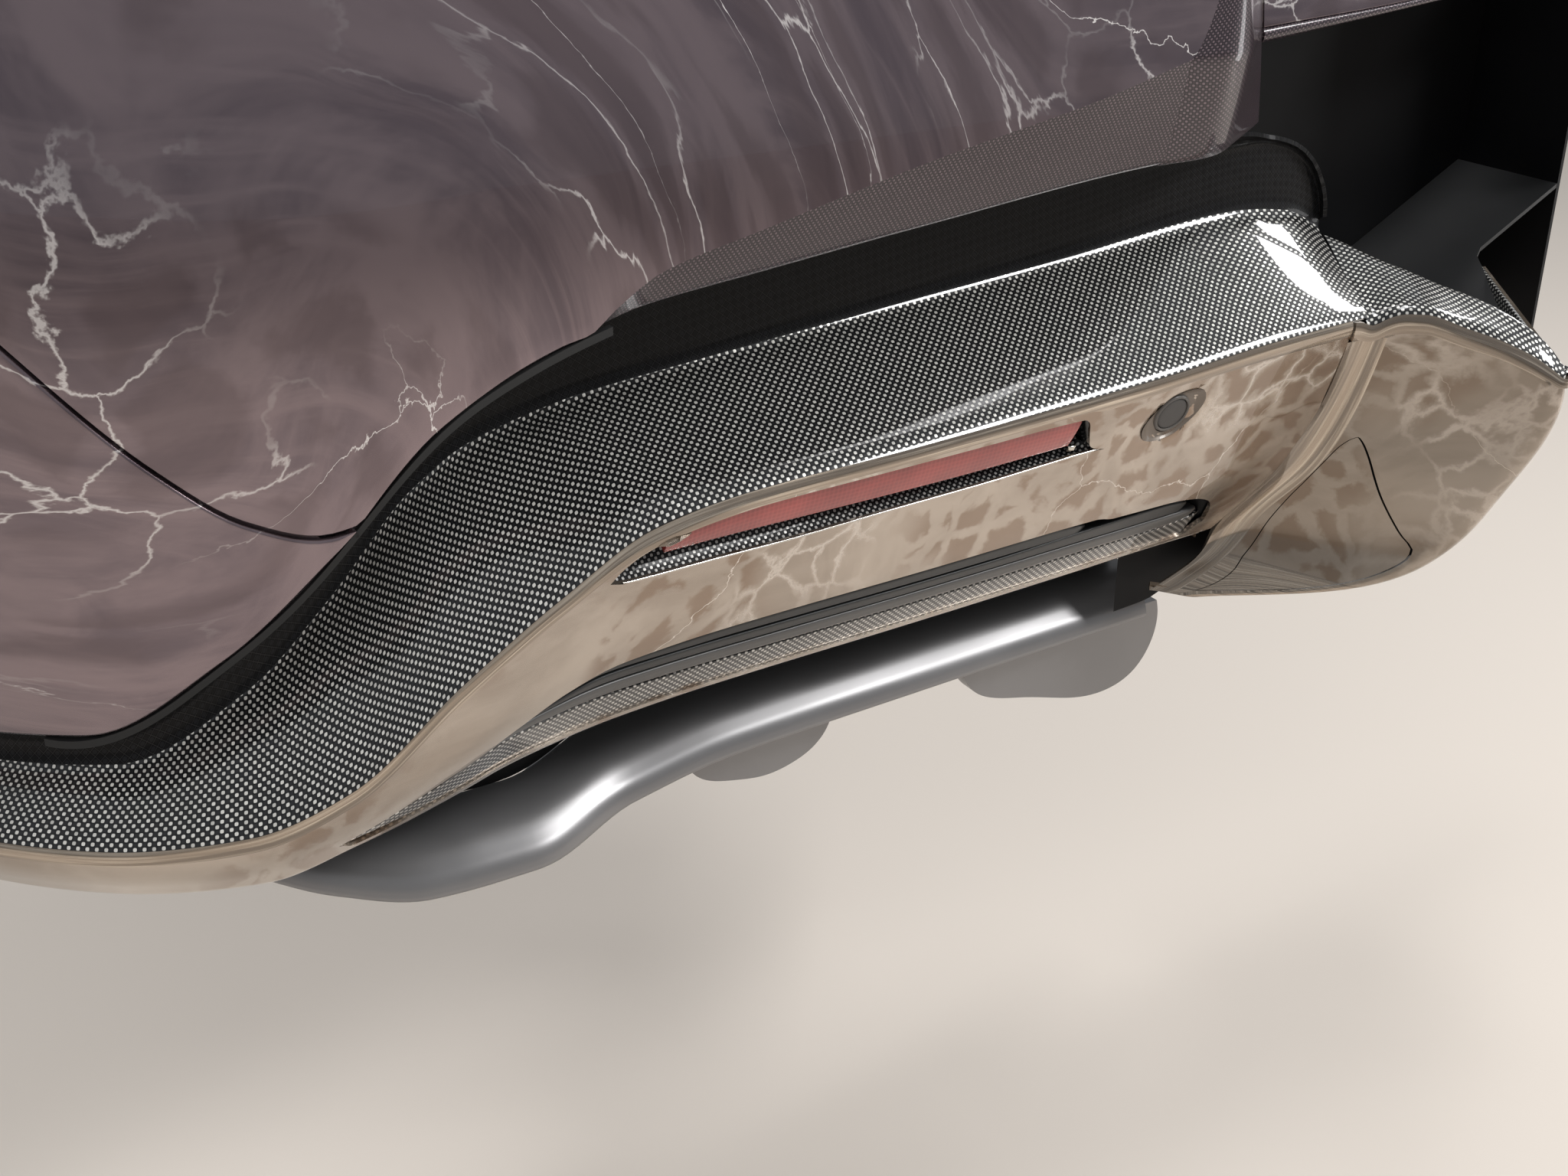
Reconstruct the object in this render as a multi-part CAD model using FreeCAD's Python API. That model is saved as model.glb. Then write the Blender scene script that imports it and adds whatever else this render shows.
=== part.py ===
import FreeCAD, Part
import math
import os

# Left rear bumper corner of a low sports car, in millimetres.
# X runs inboard to the car's right, Y forward and Z up.
# The origin is the centre of the bolted face of the mount plate, which faces forward.

# Driving dimensions of the corner
REAR_REACH = 255.0            # mount face back to the outermost rear line
CORNER_X = -180.0             # where the rear face turns into the corner
CORNER_RADIUS = 254.0
SIDE_FRONT_Y = 200.0          # front end of the side skins, at the wheel arch
TOP_Z = 240.0                 # top shut line
SKIN = 2.6                    # painted skins
CARBON = 2.2                  # bare carbon pieces
LINER = 2.0                   # black plastic liners
FIT = 0.3                     # clearance between seated pieces
SHUT_GAP = 2.2                # open gap along the shut line
CROWN_Z = 30.0                # height of the widest line of the upper skins
TUMBLE = 34.0                 # how far they lean in from there to TOP_Z
LOFT_STEP = 22.0              # distance between the sections of a loft

# Mount plate, beam and can
PLATE_WIDTH = 170.0
PLATE_HEIGHT = 130.0
PLATE_THICK = 8.0
BOLT_SPACING_X = 130.0
BOLT_SPACING_Z = 90.0
BOLT_HOLE_R = 5.25
CAN_WIDTH = 96.0
CAN_HEIGHT = 66.0
CAN_WALL = 2.5
BEAM_DEPTH = 34.0
BEAM_LOW_Z = -52.0
BEAM_HIGH_Z = 4.0
BEAM_WALL = 2.5
BEAM_START_S = 70.0
BEAM_END_S = 330.0

# Form of the rear and corner: one row for each station along the plan line.
# s is the path length from CORNER_X, negative round the corner and along the side.
# edge: lower edge of the upper skins; crease and wall: the carbon channel;
# bound: top of the painted lower skin, on the plan line; mid and lip: its two lower bends.
# Each n is measured inwards from the plan line and each z is a height.
COLUMNS = ("s", "edge_n", "edge_z", "crease_n", "crease_z", "wall_z", "bound_z",
           "mid_n", "mid_z", "lip_n", "lip_z")
STATIONS = (
    (-600.0, 6.0, -82.0, 26.0, -104.0, -94.0, -121.0, 3.0, -134.0, 12.0, -147.0),
    (-399.0, 6.0, -82.0, 26.0, -104.0, -94.0, -121.0, 3.0, -134.0, 12.0, -147.0),
    (-260.0, 6.0, -82.0, 26.0, -104.0, -94.0, -121.0, 3.0, -134.0, 12.0, -147.0),
    (-160.0, 5.0, -79.0, 28.0, -101.0, -90.0, -121.5, 3.0, -134.0, 13.0, -148.0),
    (-104.0, 4.0, -47.0, 38.0, -76.0, -60.0, -117.0, 5.0, -131.0, 17.0, -147.0),
    (-67.0, 3.0, -14.0, 46.0, -47.0, -26.0, -103.0, 9.0, -121.0, 26.0, -141.0),
    (-24.0, 2.0, 30.0, 54.0, -12.0, 14.0, -68.0, 14.0, -105.0, 37.0, -135.0),
    (15.0, 3.0, 49.0, 59.0, 3.0, 34.0, -44.0, 20.0, -94.0, 44.0, -130.0),
    (55.0, 7.0, 58.5, 61.0, 10.0, 44.0, -25.5, 24.0, -88.0, 48.0, -127.0),
    (100.0, 12.0, 61.0, 61.0, 14.0, 50.0, -18.5, 25.0, -86.0, 49.0, -125.0),
    (174.0, 16.0, 66.5, 61.0, 20.0, 57.0, -15.5, 25.0, -85.0, 50.0, -124.0),
    (290.0, 18.0, 75.5, 61.0, 29.0, 66.0, -10.0, 26.0, -84.0, 50.0, -121.0),
    (350.0, 18.0, 77.5, 61.0, 35.0, 68.0, -5.5, 26.0, -83.0, 50.0, -119.0),
    (372.0, 18.0, 78.2, 61.0, 36.5, 68.0, -4.3, 26.0, -82.7, 50.0, -118.6),
    (397.0, 18.0, 78.9, 61.0, 32.5, 68.0, -3.2, 26.0, -82.3, 50.0, -118.3),
    (414.0, 18.0, 79.5, 61.0, 21.0, 68.0, -2.5, 26.0, -82.0, 50.0, -118.0),
)

# Shut line between the quarter skin and the upper skin, (s, z), up from the diagonal edge
SHUT_LINE = (
    (-600.0, 196.0), (-399.0, 186.0), (-260.0, 148.0), (-200.0, 106.0), (-158.0, 66.0),
    (-116.0, 24.5), (-90.0, 5.0), (-66.0, -2.5), (-50.0, 0.5),
)
# Line where the paint of the upper skin ends above the bare carbon lip, (s, z)
PAINT_LINE = ((44.0, 63.0), (60.0, 71.5), (100.0, 80.5), (174.0, 96.0), (252.0, 109.5), (298.0, 120.0))

# Places along the plan line
PAINT_START_S = PAINT_LINE[0][0]
PAINT_END_S = PAINT_LINE[-1][0]
RETURN_S = PAINT_END_S + 32.0
RETURN_END_S = RETURN_S + 55.0
RETURN_ROUND = 13.0
ROOT_LAP = 9.0
BRIDGE_N = 50.0
BRIDGE_LOW = ((386.0, 111.5), (488.0, 120.4), (610.0, 131.0))
VALLEY_S = 414.0
END_SLANT = 26.0              # how far the crease runs on past the boundary at the channel's end
SLANT_START_S = 350.0
WALL_FADE_S = 372.0           # where the wall over the crease starts to drop
SHELF_LEFT = 0.08             # share of the shelf that is left beyond the return
WALL_LEFT = 0.1               # share of the wall that is left at VALLEY_S
INBOARD_S = BRIDGE_LOW[-1][0]
SIDE_END_S = -(CORNER_RADIUS * math.pi / 2 + SIDE_FRONT_Y - (CORNER_RADIUS - REAR_REACH))

# Reflector slot in the painted face, (s, z): top from the left tip, then the lower edge back
SLOT_TOP = ((40.0, -40.0), (54.0, -32.5), (100.0, -25.5), (174.0, -23.5), (258.0, -21.0))
SLOT_LOW = ((268.0, -38.5), (246.0, -41.0), (205.0, -43.0), (106.0, -46.5), (48.0, -45.0))
SLOT = SLOT_TOP + SLOT_LOW
TRAY = ((62.0, -37.5), (252.0, -35.5), (260.0, -38.0), (246.0, -41.0), (205.0, -43.0), (106.0, -46.5), (54.0, -45.0))
LENS_LOW = ((60.0, -36.5), (258.0, -34.5))
LENS_START_S = 64.0
LENS_MIDDLE_S = 160.0
LENS_END_S = 254.0
LENS_RECESS = 3.0
LENS_THICK = 4.0
FOAM_N = 50.0
FOAM_DEPTH = 64.7
BEAM_FRONT_Y = FOAM_N + FOAM_DEPTH + FIT + BEAM_DEPTH - REAR_REACH

# Parking sensor
SENSOR_S = 308.7
SENSOR_Z = -31.0
SENSOR_HOLE_R = 11.3
SENSOR_DISC_R = 7.75
SENSOR_BODY = 30.0

# Vane opening, (s, z), and what lies in it: name, start, end, height of front edge, drop, recess
VANE_OPENING = (
    (-74.0, -131.0), (4.0, -103.0), (24.0, -93.5), (48.0, -87.5), (100.0, -85.5), (286.0, -82.5), (292.0, -85.0),
    (338.0, -84.5), (350.0, -88.5), (366.0, -103.0), (366.0, -112.0), (174.0, -116.5), (15.0, -124.0), (-74.0, -138.0),
)
VANES = (
    ("upper_vane", 30.0, 286.0, -87.0, 4.5, 2.0),
    ("lower_vane", 12.0, 342.0, -93.0, 4.5, 2.0),
    ("rolled_band", 2.0, 352.0, -99.0, 4.5, 1.0),
    ("carbon_strip", -4.0, 360.0, -105.0, 8.0, 1.0),
)
VANE_REFERENCE_S = 174.0
LINER_N = 62.0

# Valley line where the rear face meets the lobe, (s, z), closed on the inboard side
VALLEY_CUT = ((418.0, 10.0), (416.0, -48.0), (404.0, -83.0), (392.0, -112.0), (386.0, -125.0), (450.0, -125.0),
              (450.0, 10.0))
# Lobe levels from the top down: valley point, nose point and inboard side point, each s, n, z
LOBE_ROWS = (
    (416.5, 0.0, -5.2, 481.0, -59.5, -29.5, 556.0, 55.0, -12.2),
    (416.5, 15.0, -48.0, 480.0, -59.0, -56.0, 556.0, 60.0, -52.0),
    (404.5, 26.5, -83.0, 467.0, -47.5, -90.0, 548.0, 65.0, -88.0),
    (392.5, 46.0, -112.0, 452.0, -34.0, -119.0, 530.0, 70.0, -116.0),
    (377.0, 51.5, -132.0, 418.0, -4.0, -141.0, 498.0, 75.0, -136.0),
    (350.0, 55.0, -145.0, 372.0, 39.0, -149.5, 450.0, 77.0, -147.0),
)
NOSE_REACH = 13.0
NOSE_HEM = 7.0
LOBE_LIFT = 16.0              # height of the control point that arches the lobe's top edge
# Blade over the lobe: near edge and far edge, each s, n, z
NOSE_RIBS = (
    ((414.5, 0.0, -2.2), (440.7, 61.0, 21.0)),
    ((427.0, -9.5, 0.2), (451.3, 34.1, 13.6)),
    ((446.0, -27.4, -4.7), (463.5, 2.0, 6.6)),
    ((467.0, -46.8, -15.2), (475.5, -29.5, -2.5)),
    ((480.0, -58.5, -25.0), (485.0, -54.0, -21.5)),
)

# Diffuser lip: s, inward place and height of its rear edge
DIFFUSER = (
    (-165.0, 68.0, -166.0), (-122.0, 64.0, -176.0), (-80.0, 60.0, -186.0), (-32.0, 53.0, -191.0),
    (20.0, 52.0, -191.0), (74.0, 68.0, -184.0), (125.0, 71.0, -178.0), (230.0, 72.0, -175.0), (366.0, 73.0, -172.0),
)
DIFFUSER_WALL = 3.0
DIFFUSER_FLOOR = 70.0
DIFFUSER_DROP = 6.0
CAN_LOW_Z = -56.0
TABS = (
    ("skid_tab_inboard", 207.0, 82.0, ((204.5, -201.0), (194.6, -213.0), (170.0, -219.5), (125.0, -208.6), (92.0, -196.5))),
    ("skid_tab_outboard", 8.0, -72.0, ((-5.4, -199.7), (-16.0, -203.8), (-29.0, -205.6), (-46.0, -203.0), (-60.0, -198.6))),
)
TAB_REAR_Y = 89.0 - REAR_REACH
TAB_THICK = 9.0
FOAM_LOW_Z = -60.0
STAYS = (("stay_outboard", -60.0), ("stay_inboard", 100.0))
STAY_Y = 137.0 - REAR_REACH
STAY_THICK = 3.0
STAY_WIDTH = 24.0
STAY_FOOT = 18.0
BRACKET = 2.5
SIDE_BRACKET_HEIGHT = 120.0
SIDE_BRACKET_LENGTH = 50.0
SIDE_HOLE_SPACING = 70.0
SIDE_INSET = 6.0
SIDE_HOLE_R = 3.2
TOP_BRACKET_START_S = -60.0
TOP_BRACKET_END_S = 270.0
TOP_FLANGE = 26.0
TOP_HOLES_S = (20.0, 220.0)
TOP_HOLE_R = 3.2
OPENING_BACK_N = 123.0
OPENING_SIDE_N = 60.0
OPENING_LOW_Z = -60.0
OPENING_HIGH_Z = 150.0
OPENING_STEP_X = 24.0
SEAL_START_S = -176.0
SEAL_END_S = 40.0
SEAL_DROP = 3.0
SEAL_DEPTH = 3.0
# Floor over the lobe: top line (s, z) from the channel inboard, and its outline (s, n) seen from above
FLOOR_LINE = ((400.0, -10.0), (445.0, -16.0), (484.0, -30.0), (522.0, -22.0), (608.0, 22.0))
FLOOR_OUTLINE = ((481.0, -50.0), (551.0, 55.5), (556.5, 58.5), (608.0, 58.5), (608.0, 122.7), (416.0, 122.7),
                 (442.0, 67.0))
# Tow-eye cover on the lobe: points along the face u and height z, joined by arcs
TOW_OUTLINE = ((2.0, -59.0), (20.0, -94.5), (48.0, -117.0), (10.0, -125.0), (-28.0, -115.0), (-16.0, -84.0))
TOW_GAP = 0.6

V = FreeCAD.Vector
NODES = {}
RING_BENDS = (1, 3, 8, 10)


def plan(s, n=0.0):
    """Point of the plan line at path length s, moved n inwards."""
    centre_y = CORNER_RADIUS - REAR_REACH
    radius = CORNER_RADIUS - n
    if s >= 0.0:
        return CORNER_X + s, n - REAR_REACH
    turn = -s / CORNER_RADIUS
    if turn <= math.pi / 2:
        return CORNER_X - radius * math.sin(turn), centre_y - radius * math.cos(turn)
    return CORNER_X - radius, centre_y + CORNER_RADIUS * (turn - math.pi / 2)


def place(s, n, z):
    """The same point as a vector at height z."""
    x, y = plan(s, n)
    return V(x, y, z)


def blend(rows, s, value=1):
    """Value of a column of a table of rows at s, on a smooth curve that never overshoots."""
    if s <= rows[0][0]:
        return rows[0][value]
    if s >= rows[-1][0]:
        return rows[-1][value]
    slopes = [(b[value] - a[value]) / (b[0] - a[0]) for a, b in zip(rows, rows[1:])]
    i = max(k for k, row in enumerate(rows[:-1]) if row[0] <= s)
    step = rows[i + 1][0] - rows[i][0]
    start = slopes[i] if i == 0 else gentle(slopes[i - 1], slopes[i])
    end = slopes[i] if i == len(slopes) - 1 else gentle(slopes[i], slopes[i + 1])
    t = (s - rows[i][0]) / step
    return ((1 + 2 * t) * (1 - t) ** 2 * rows[i][value] + t * (1 - t) ** 2 * step * start
            + t * t * (3 - 2 * t) * rows[i + 1][value] + t * t * (t - 1) * step * end)


def gentle(before, after):
    """Slope at a row, between the slopes before and after it, and level at a turning point."""
    if before * after <= 0.0:
        return 0.0
    return 2.0 * before * after / (before + after)


def form(s, name):
    """Value of a named column of STATIONS at s."""
    return blend(STATIONS, s, COLUMNS.index(name))


def stops(start, end):
    """Path lengths from start to end: the ends and the whole multiples of LOFT_STEP between."""
    first = math.ceil((start + LOFT_STEP * 0.3) / LOFT_STEP)
    last = math.floor((end - LOFT_STEP * 0.3) / LOFT_STEP)
    return [start] + [i * LOFT_STEP for i in range(first, last + 1)] + [end]


def crown(z):
    """How far the upper skins lie inside the plan line at height z."""
    return TUMBLE * ((z - CROWN_Z) / (TOP_Z - CROWN_Z)) ** 2


def panel_n(s, z):
    """Outer side of the upper skins at height z, or of the bare lip below the paint line."""
    paint = blend(PAINT_LINE, s)
    if s < PAINT_START_S or z >= paint:
        return crown(z)
    share = (paint - z) / (paint - form(s, "edge_z"))
    return crown(paint) + share * (form(s, "edge_n") - crown(paint))


def thicken(path, wall, side):
    """Closed outline of a wall whose outer line is path; side 1 puts the wall to its left."""
    inner = []
    for i, here in enumerate(path):
        normals = []
        if i > 0:
            normals.append(left_of(path[i - 1], here))
        if i < len(path) - 1:
            normals.append(left_of(here, path[i + 1]))
        mean = (sum(n[0] for n in normals) / len(normals), sum(n[1] for n in normals) / len(normals))
        reach = wall / (mean[0] ** 2 + mean[1] ** 2)
        inner.append((here[0] + side * mean[0] * reach, here[1] + side * mean[1] * reach))
    return list(path) + inner[::-1]


def level_start(outline, path):
    """Outline with the inner end beside the path's first point slid to that point's height."""
    inner = outline[-1]
    along = (path[1][0] - path[0][0], path[1][1] - path[0][1])
    share = (path[0][1] - inner[1]) / along[1]
    return outline[:-1] + [(inner[0] + share * along[0], path[0][1])]


def left_of(a, b):
    """Unit normal to the left of the step from a to b."""
    length = math.hypot(b[0] - a[0], b[1] - a[1])
    return (a[1] - b[1]) / length, (b[0] - a[0]) / length


def strip_faces(edges):
    """Faces across the end of a wall whose outer line comes first, and then the inner one back."""
    half = len(edges) // 2 - 1
    return [Part.makeRuledSurface(edges[i], edges[2 * half - i]) for i in range(half)]


def carried(marks, rows, bends=(), strip=False):
    """Solid of a closed outline carried along: rows hold its points at each mark.

    Each point follows a smooth curve through the rows, and straight sides join neighbours.
    A point whose place in the outline is in bends is the control point of a parabola.
    The ends are flat, or for a strip they may be arched.
    """
    count = len(rows[0])
    curves = []
    for k in range(count):
        curve = Part.BSplineCurve()
        curve.interpolate(Points=[row[k] for row in rows], Parameters=marks)
        curves.append(curve)
    corners = [k for k in range(count) if k not in bends]
    faces = []
    ends = ([], [])
    for here, there in zip(corners, corners[1:] + [corners[0] + count]):
        side = [k % count for k in range(here, there + 1)]
        degree = len(side) - 1
        surface = Part.BSplineSurface()
        poles = [list(point) for point in zip(*[curves[k].getPoles() for k in side])]
        surface.buildFromPolesMultsKnots(
            poles, curves[0].getMultiplicities(), [degree + 1, degree + 1], curves[0].getKnots(), [0.0, 1.0],
            False, False, curves[0].Degree, degree)
        faces.append(surface.toShape())
        for edges, row in zip(ends, (rows[0], rows[-1])):
            line = Part.BezierCurve()
            line.setPoles([row[k] for k in side])
            edges.append(line.toShape())
    for edges in ends:
        faces = faces + (strip_faces(edges) if strip else [Part.Face(Part.Wire(edges))])
    shell = Part.makeShell(faces)
    shell.sewShape()
    solid = Part.Solid(shell)
    if solid.Volume < 0:
        solid.reverse()
    return solid


def band(sections, bends=()):
    """Solid of closed outlines of (n, z) points, carried along the plan line."""
    rows = [[place(s, n, z) for n, z in outline] for s, outline in sections]
    return carried([s for s, outline in sections], rows, bends)


def arched(sections):
    """Solid of walls (s, low z, high z, wall) that follow the crown of the side."""
    outlines = []
    for s, low, high, wall in sections:
        outer = through([(crown(z), z) for z in (low, (low + high) / 2, high)])
        inner = [(n + wall, z) for n, z in outer[::-1]]
        outlines.append((s, outer + inner))
    return band(outlines, (1, 4))


def through(points):
    """Control points of the parabola that passes through three points."""
    first, middle, last = points
    return [first, tuple(2 * m - (f + e) / 2 for f, m, e in zip(first, middle, last)), last]


def block(x0, x1, y0, y1, z0, z1):
    """Box between two corners."""
    return Part.makeBox(x1 - x0, y1 - y0, z1 - z0, V(x0, y0, z0))


def rear_prism(points, n0=-45.0, n1=125.0):
    """Prism along Y, from n0 to n1, whose outline is given as (s, z) points of the straight rear face."""
    corners = [V(CORNER_X + s, n0 - REAR_REACH, z) for s, z in points]
    face = Part.Face(Part.makePolygon(corners + corners[:1]))
    return face.extrude(V(0, n1 - n0, 0))


def along_y(x, z, radius, y0, y1):
    """Cylinder along Y."""
    return Part.makeCylinder(radius, y1 - y0, V(x, y0, z), V(0, 1, 0))


def keep(name, shape):
    """File a finished piece under its node name."""
    NODES[name] = shape


def upper_low(s):
    """Lower limit of the painted upper skin."""
    if s < PAINT_START_S:
        return max(form(s, "edge_z"), blend(SHUT_LINE, min(s, SHUT_LINE[-1][0])) + SHUT_GAP / 2)
    return blend(PAINT_LINE, s)


def make_upper_skins():
    """Upper skin above the shut line, and the quarter skin below it."""
    marks = stops(SIDE_END_S, PAINT_END_S)
    keep("upper_panel", arched([(s, upper_low(s), TOP_Z, SKIN) for s in marks]))
    quarter = []
    for s in stops(SIDE_END_S, -70.0):
        quarter.append((s, form(s, "edge_z"), blend(SHUT_LINE, s) - SHUT_GAP / 2, SKIN))
    keep("quarter_panel", arched(quarter))


def make_lip():
    """Bare carbon lip under the paint line, the upright return and the strip beyond it."""
    sections = []
    for s in stops(PAINT_START_S + 6.0, PAINT_END_S):
        top = blend(PAINT_LINE, s) - FIT
        path = [(crown(top), top), (form(s, "edge_n"), form(s, "edge_z"))]
        sections.append((s, level_start(thicken(path, CARBON, 1), path)))
    keep("panel_lip", band(sections))
    rows = []
    levels = (form(RETURN_S, "edge_z"), 98.0, PAINT_LINE[-1][1], 150.0, 195.0, TOP_Z)
    for z in levels:
        start = PAINT_END_S + FIT
        lean = panel_n(start, z)
        points = [place(start, lean, z), place(RETURN_S, lean, z), place(RETURN_END_S, return_end_n(z), z)]
        rows.append(corner_ring(points, CARBON, RETURN_ROUND))
    keep("panel_return", carried(levels, rows, RING_BENDS))
    bridge = []
    for s in (RETURN_END_S + FIT, (RETURN_END_S + INBOARD_S) / 2, INBOARD_S):
        low = blend(BRIDGE_LOW, s)
        outer = through([(BRIDGE_N + crown(z), z) for z in (low, (low + TOP_Z) / 2, TOP_Z)])
        bridge.append((s, outer + [(n + SKIN, z) for n, z in outer[::-1]]))
    keep("bridge_strip", band(bridge, (1, 4)))


def return_end_n(z):
    """How far inwards the return ends at height z, behind the face of the strip beyond it."""
    return BRIDGE_N + crown(z) + SKIN / 2


def slant(s):
    """How far the crease of the section at s lies inboard of its boundary point."""
    return END_SLANT * max(0.0, s - SLANT_START_S) / (VALLEY_S - SLANT_START_S)


def wall_share(s):
    """Share of the channel's wall that is left at s, on a quarter ellipse down to its end."""
    run = max(0.0, s - WALL_FADE_S) / (VALLEY_S - WALL_FADE_S)
    return WALL_LEFT + (1.0 - WALL_LEFT) * math.sqrt(max(0.0, 1.0 - run * run))


def shelf_share(s):
    """Share of the shelf over the wall that is left at s, as the return's side closes in on the wall."""
    start = RETURN_S - 2 * LOFT_STEP
    run = min(1.0, max(0.0, s - start) / (RETURN_END_S - start))
    return 1.0 - (1.0 - SHELF_LEFT) * run ** 1.5


def channel_path(s):
    """Outer line of the carbon channel: boundary, crease, top of the wall and root."""
    crease = (form(s, "crease_n"), form(s, "crease_z"))
    wall = (crease[0] + 1.5, form(s, "wall_z"))
    root = (panel_n(s, form(s, "edge_z") + ROOT_LAP) + SKIN + FIT, form(s, "edge_z") + ROOT_LAP)
    rise = wall_share(s)
    shelf = shelf_share(s)
    top = (crease[0] + (wall[0] - crease[0]) * rise, crease[1] + (wall[1] - crease[1]) * rise)
    return [(0.0, form(s, "bound_z")), crease, top,
            (top[0] + (root[0] - wall[0]) * shelf, top[1] + (root[1] - wall[1]) * shelf)]


def lower_path(s):
    """Outer line of the painted lower skin: boundary, middle bend and lip."""
    return [(0.0, form(s, "bound_z") - FIT), (form(s, "mid_n"), form(s, "mid_z")),
            (form(s, "lip_n"), form(s, "lip_z"))]


def make_channel():
    """Carbon channel: the blade from the boundary up to the crease, and the wall behind."""
    marks = stops(SIDE_END_S, VALLEY_S - LOFT_STEP) + [VALLEY_S - LOFT_STEP / 2, VALLEY_S - 3.0, VALLEY_S]
    rows = []
    for s in marks:
        path = channel_path(s)
        outline = level_start(thicken(path, CARBON, -1), path)
        rows.append([place(s + slant(s) * n / form(s, "crease_n"), n, z) for n, z in outline])
    keep("carbon_channel", carried(marks, rows))
    rows = []
    for near, far in NOSE_RIBS:
        near_point = place(*near)
        far_point = place(*far)
        down = V(0, 0, -1)
        back = V(near_point.x - far_point.x, near_point.y - far_point.y, 0).normalize()
        rows.append([near_point, far_point, far_point + down * NOSE_HEM, far_point + down * NOSE_HEM + back * CARBON,
                     far_point + back * CARBON + down * CARBON, near_point + down * CARBON])
    keep("blade_nose", carried([near[0] for near, far in NOSE_RIBS], rows))


def face_n(s, z):
    """How far inwards the painted lower face lies at height z."""
    path = lower_path(s)
    for low, high in zip(path[1:], path):
        if z >= low[1]:
            share = (z - low[1]) / (high[1] - low[1])
            return low[0] + share * (high[0] - low[0])
    return path[-1][0]


def behind_skin(start, end):
    """Everything in front of the inner side of the lower skin, grown by FIT, for cutting."""
    sections = []
    for s in stops(start, end):
        inner = thicken(lower_path(s), SKIN + FIT, 1)[3:][::-1]
        outline = [(-40.0, inner[0][1] + 12.0), (inner[0][0], inner[0][1] + 12.0)] + inner
        outline = outline + [(inner[-1][0], inner[-1][1] - 12.0), (-40.0, inner[-1][1] - 12.0)]
        sections.append((s, outline))
    return band(sections)


def sensor_axis():
    """Centre of the sensor on the skin and the direction that it looks in."""
    n = face_n(SENSOR_S, SENSOR_Z)
    slope = math.atan2(form(SENSOR_S, "mid_n"), form(SENSOR_S, "bound_z") - form(SENSOR_S, "mid_z"))
    return place(SENSOR_S, n, SENSOR_Z), V(0, -math.cos(slope), -math.sin(slope))


def round_bar(radius, front, back):
    """Cylinder on the sensor's axis, from front to back, measured outwards from the skin."""
    centre, out = sensor_axis()
    return Part.makeCylinder(radius, front - back, centre + out * back, out)


def make_lower_skin():
    """Painted lower skin, with the reflector slot, sensor hole and vane opening."""
    sections = []
    for s in stops(SIDE_END_S, VALLEY_S):
        path = lower_path(s)
        sections.append((s, level_start(thicken(path, SKIN, 1), path)))
    skin = band(sections)
    skin = skin.cut(rear_prism(SLOT))
    skin = skin.cut(round_bar(SENSOR_HOLE_R, 20.0, -20.0))
    skin = skin.cut(rear_prism(VANE_OPENING, n1=75.0))
    skin = skin.cut(rear_prism(VALLEY_CUT))
    keep("lower_skin", skin)


def toward(corner, other, reach):
    """Point on the way from a corner to another point."""
    return corner + (other - corner).normalize() * reach


def corner_line(points, reach, lift):
    """Line of two runs with a rounded corner, whose first run arches up by half of lift."""
    near = toward(points[1], points[0], reach)
    middle = (points[0] + near) * 0.5 + V(0, 0, lift)
    return [points[0], middle, near, points[1], toward(points[1], points[2], reach), points[2]]


def corner_ring(points, wall, reach, lift=0.0):
    """Closed outline of a wall round a corner at one level: the outer line, and the inner one back.

    Its points in RING_BENDS are the control points of the arch and of the rounded corner.
    """
    ring = thicken([(p.x, p.y) for p in points], wall, 1)
    upright = (points[1] - points[0]).cross(points[2] - points[0])
    inner = []
    for i in range(3):
        flat = V(ring[5 - i][0], ring[5 - i][1], points[i].z)
        rise = (points[i] - flat).dot(upright) / upright.z
        inner.append(flat + V(0, 0, rise))
    return corner_line(points, reach, lift) + corner_line(inner, reach, lift)[::-1]


def make_lobe():
    """Painted lobe inboard of the rear face, with an arched top edge."""
    rows = []
    for i, row in enumerate(LOBE_ROWS):
        points = [place(*row[k:k + 3]) for k in (0, 3, 6)]
        rows.append(corner_ring(points, SKIN, NOSE_REACH, LOBE_LIFT if i == 0 else 0.0))
    lobe = carried([-row[2] for row in LOBE_ROWS], rows, RING_BENDS, strip=True)
    keep("tow_cover", lobe.common(tow_prism(TOW_GAP)))
    keep("lobe_skin", lobe.cut(tow_prism(0.0)))


def tow_prism(inset):
    """Prism through the lobe's face with the outline of the tow-eye cover, drawn in by inset."""
    start = place(*LOBE_ROWS[0][0:3])
    end = place(*LOBE_ROWS[0][3:6])
    along = V(end.x - start.x, end.y - start.y, 0).normalize()
    out = along.cross(V(0, 0, 1))
    count = len(TOW_OUTLINE)
    middle = (sum(u for u, z in TOW_OUTLINE) / count, sum(z for u, z in TOW_OUTLINE) / count)
    points = []
    for u, z in TOW_OUTLINE:
        share = 1.0 - inset / math.hypot(u - middle[0], z - middle[1])
        u = middle[0] + (u - middle[0]) * share
        z = middle[1] + (z - middle[1]) * share
        points.append(V(start.x, start.y, 0) + along * u + V(0, 0, z) + out * 25.0)
    arcs = [Part.Arc(points[i], points[i + 1], points[(i + 2) % count]).toShape() for i in range(0, count, 2)]
    return Part.Face(Part.Wire(arcs)).extrude(out * -41.0)


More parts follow.
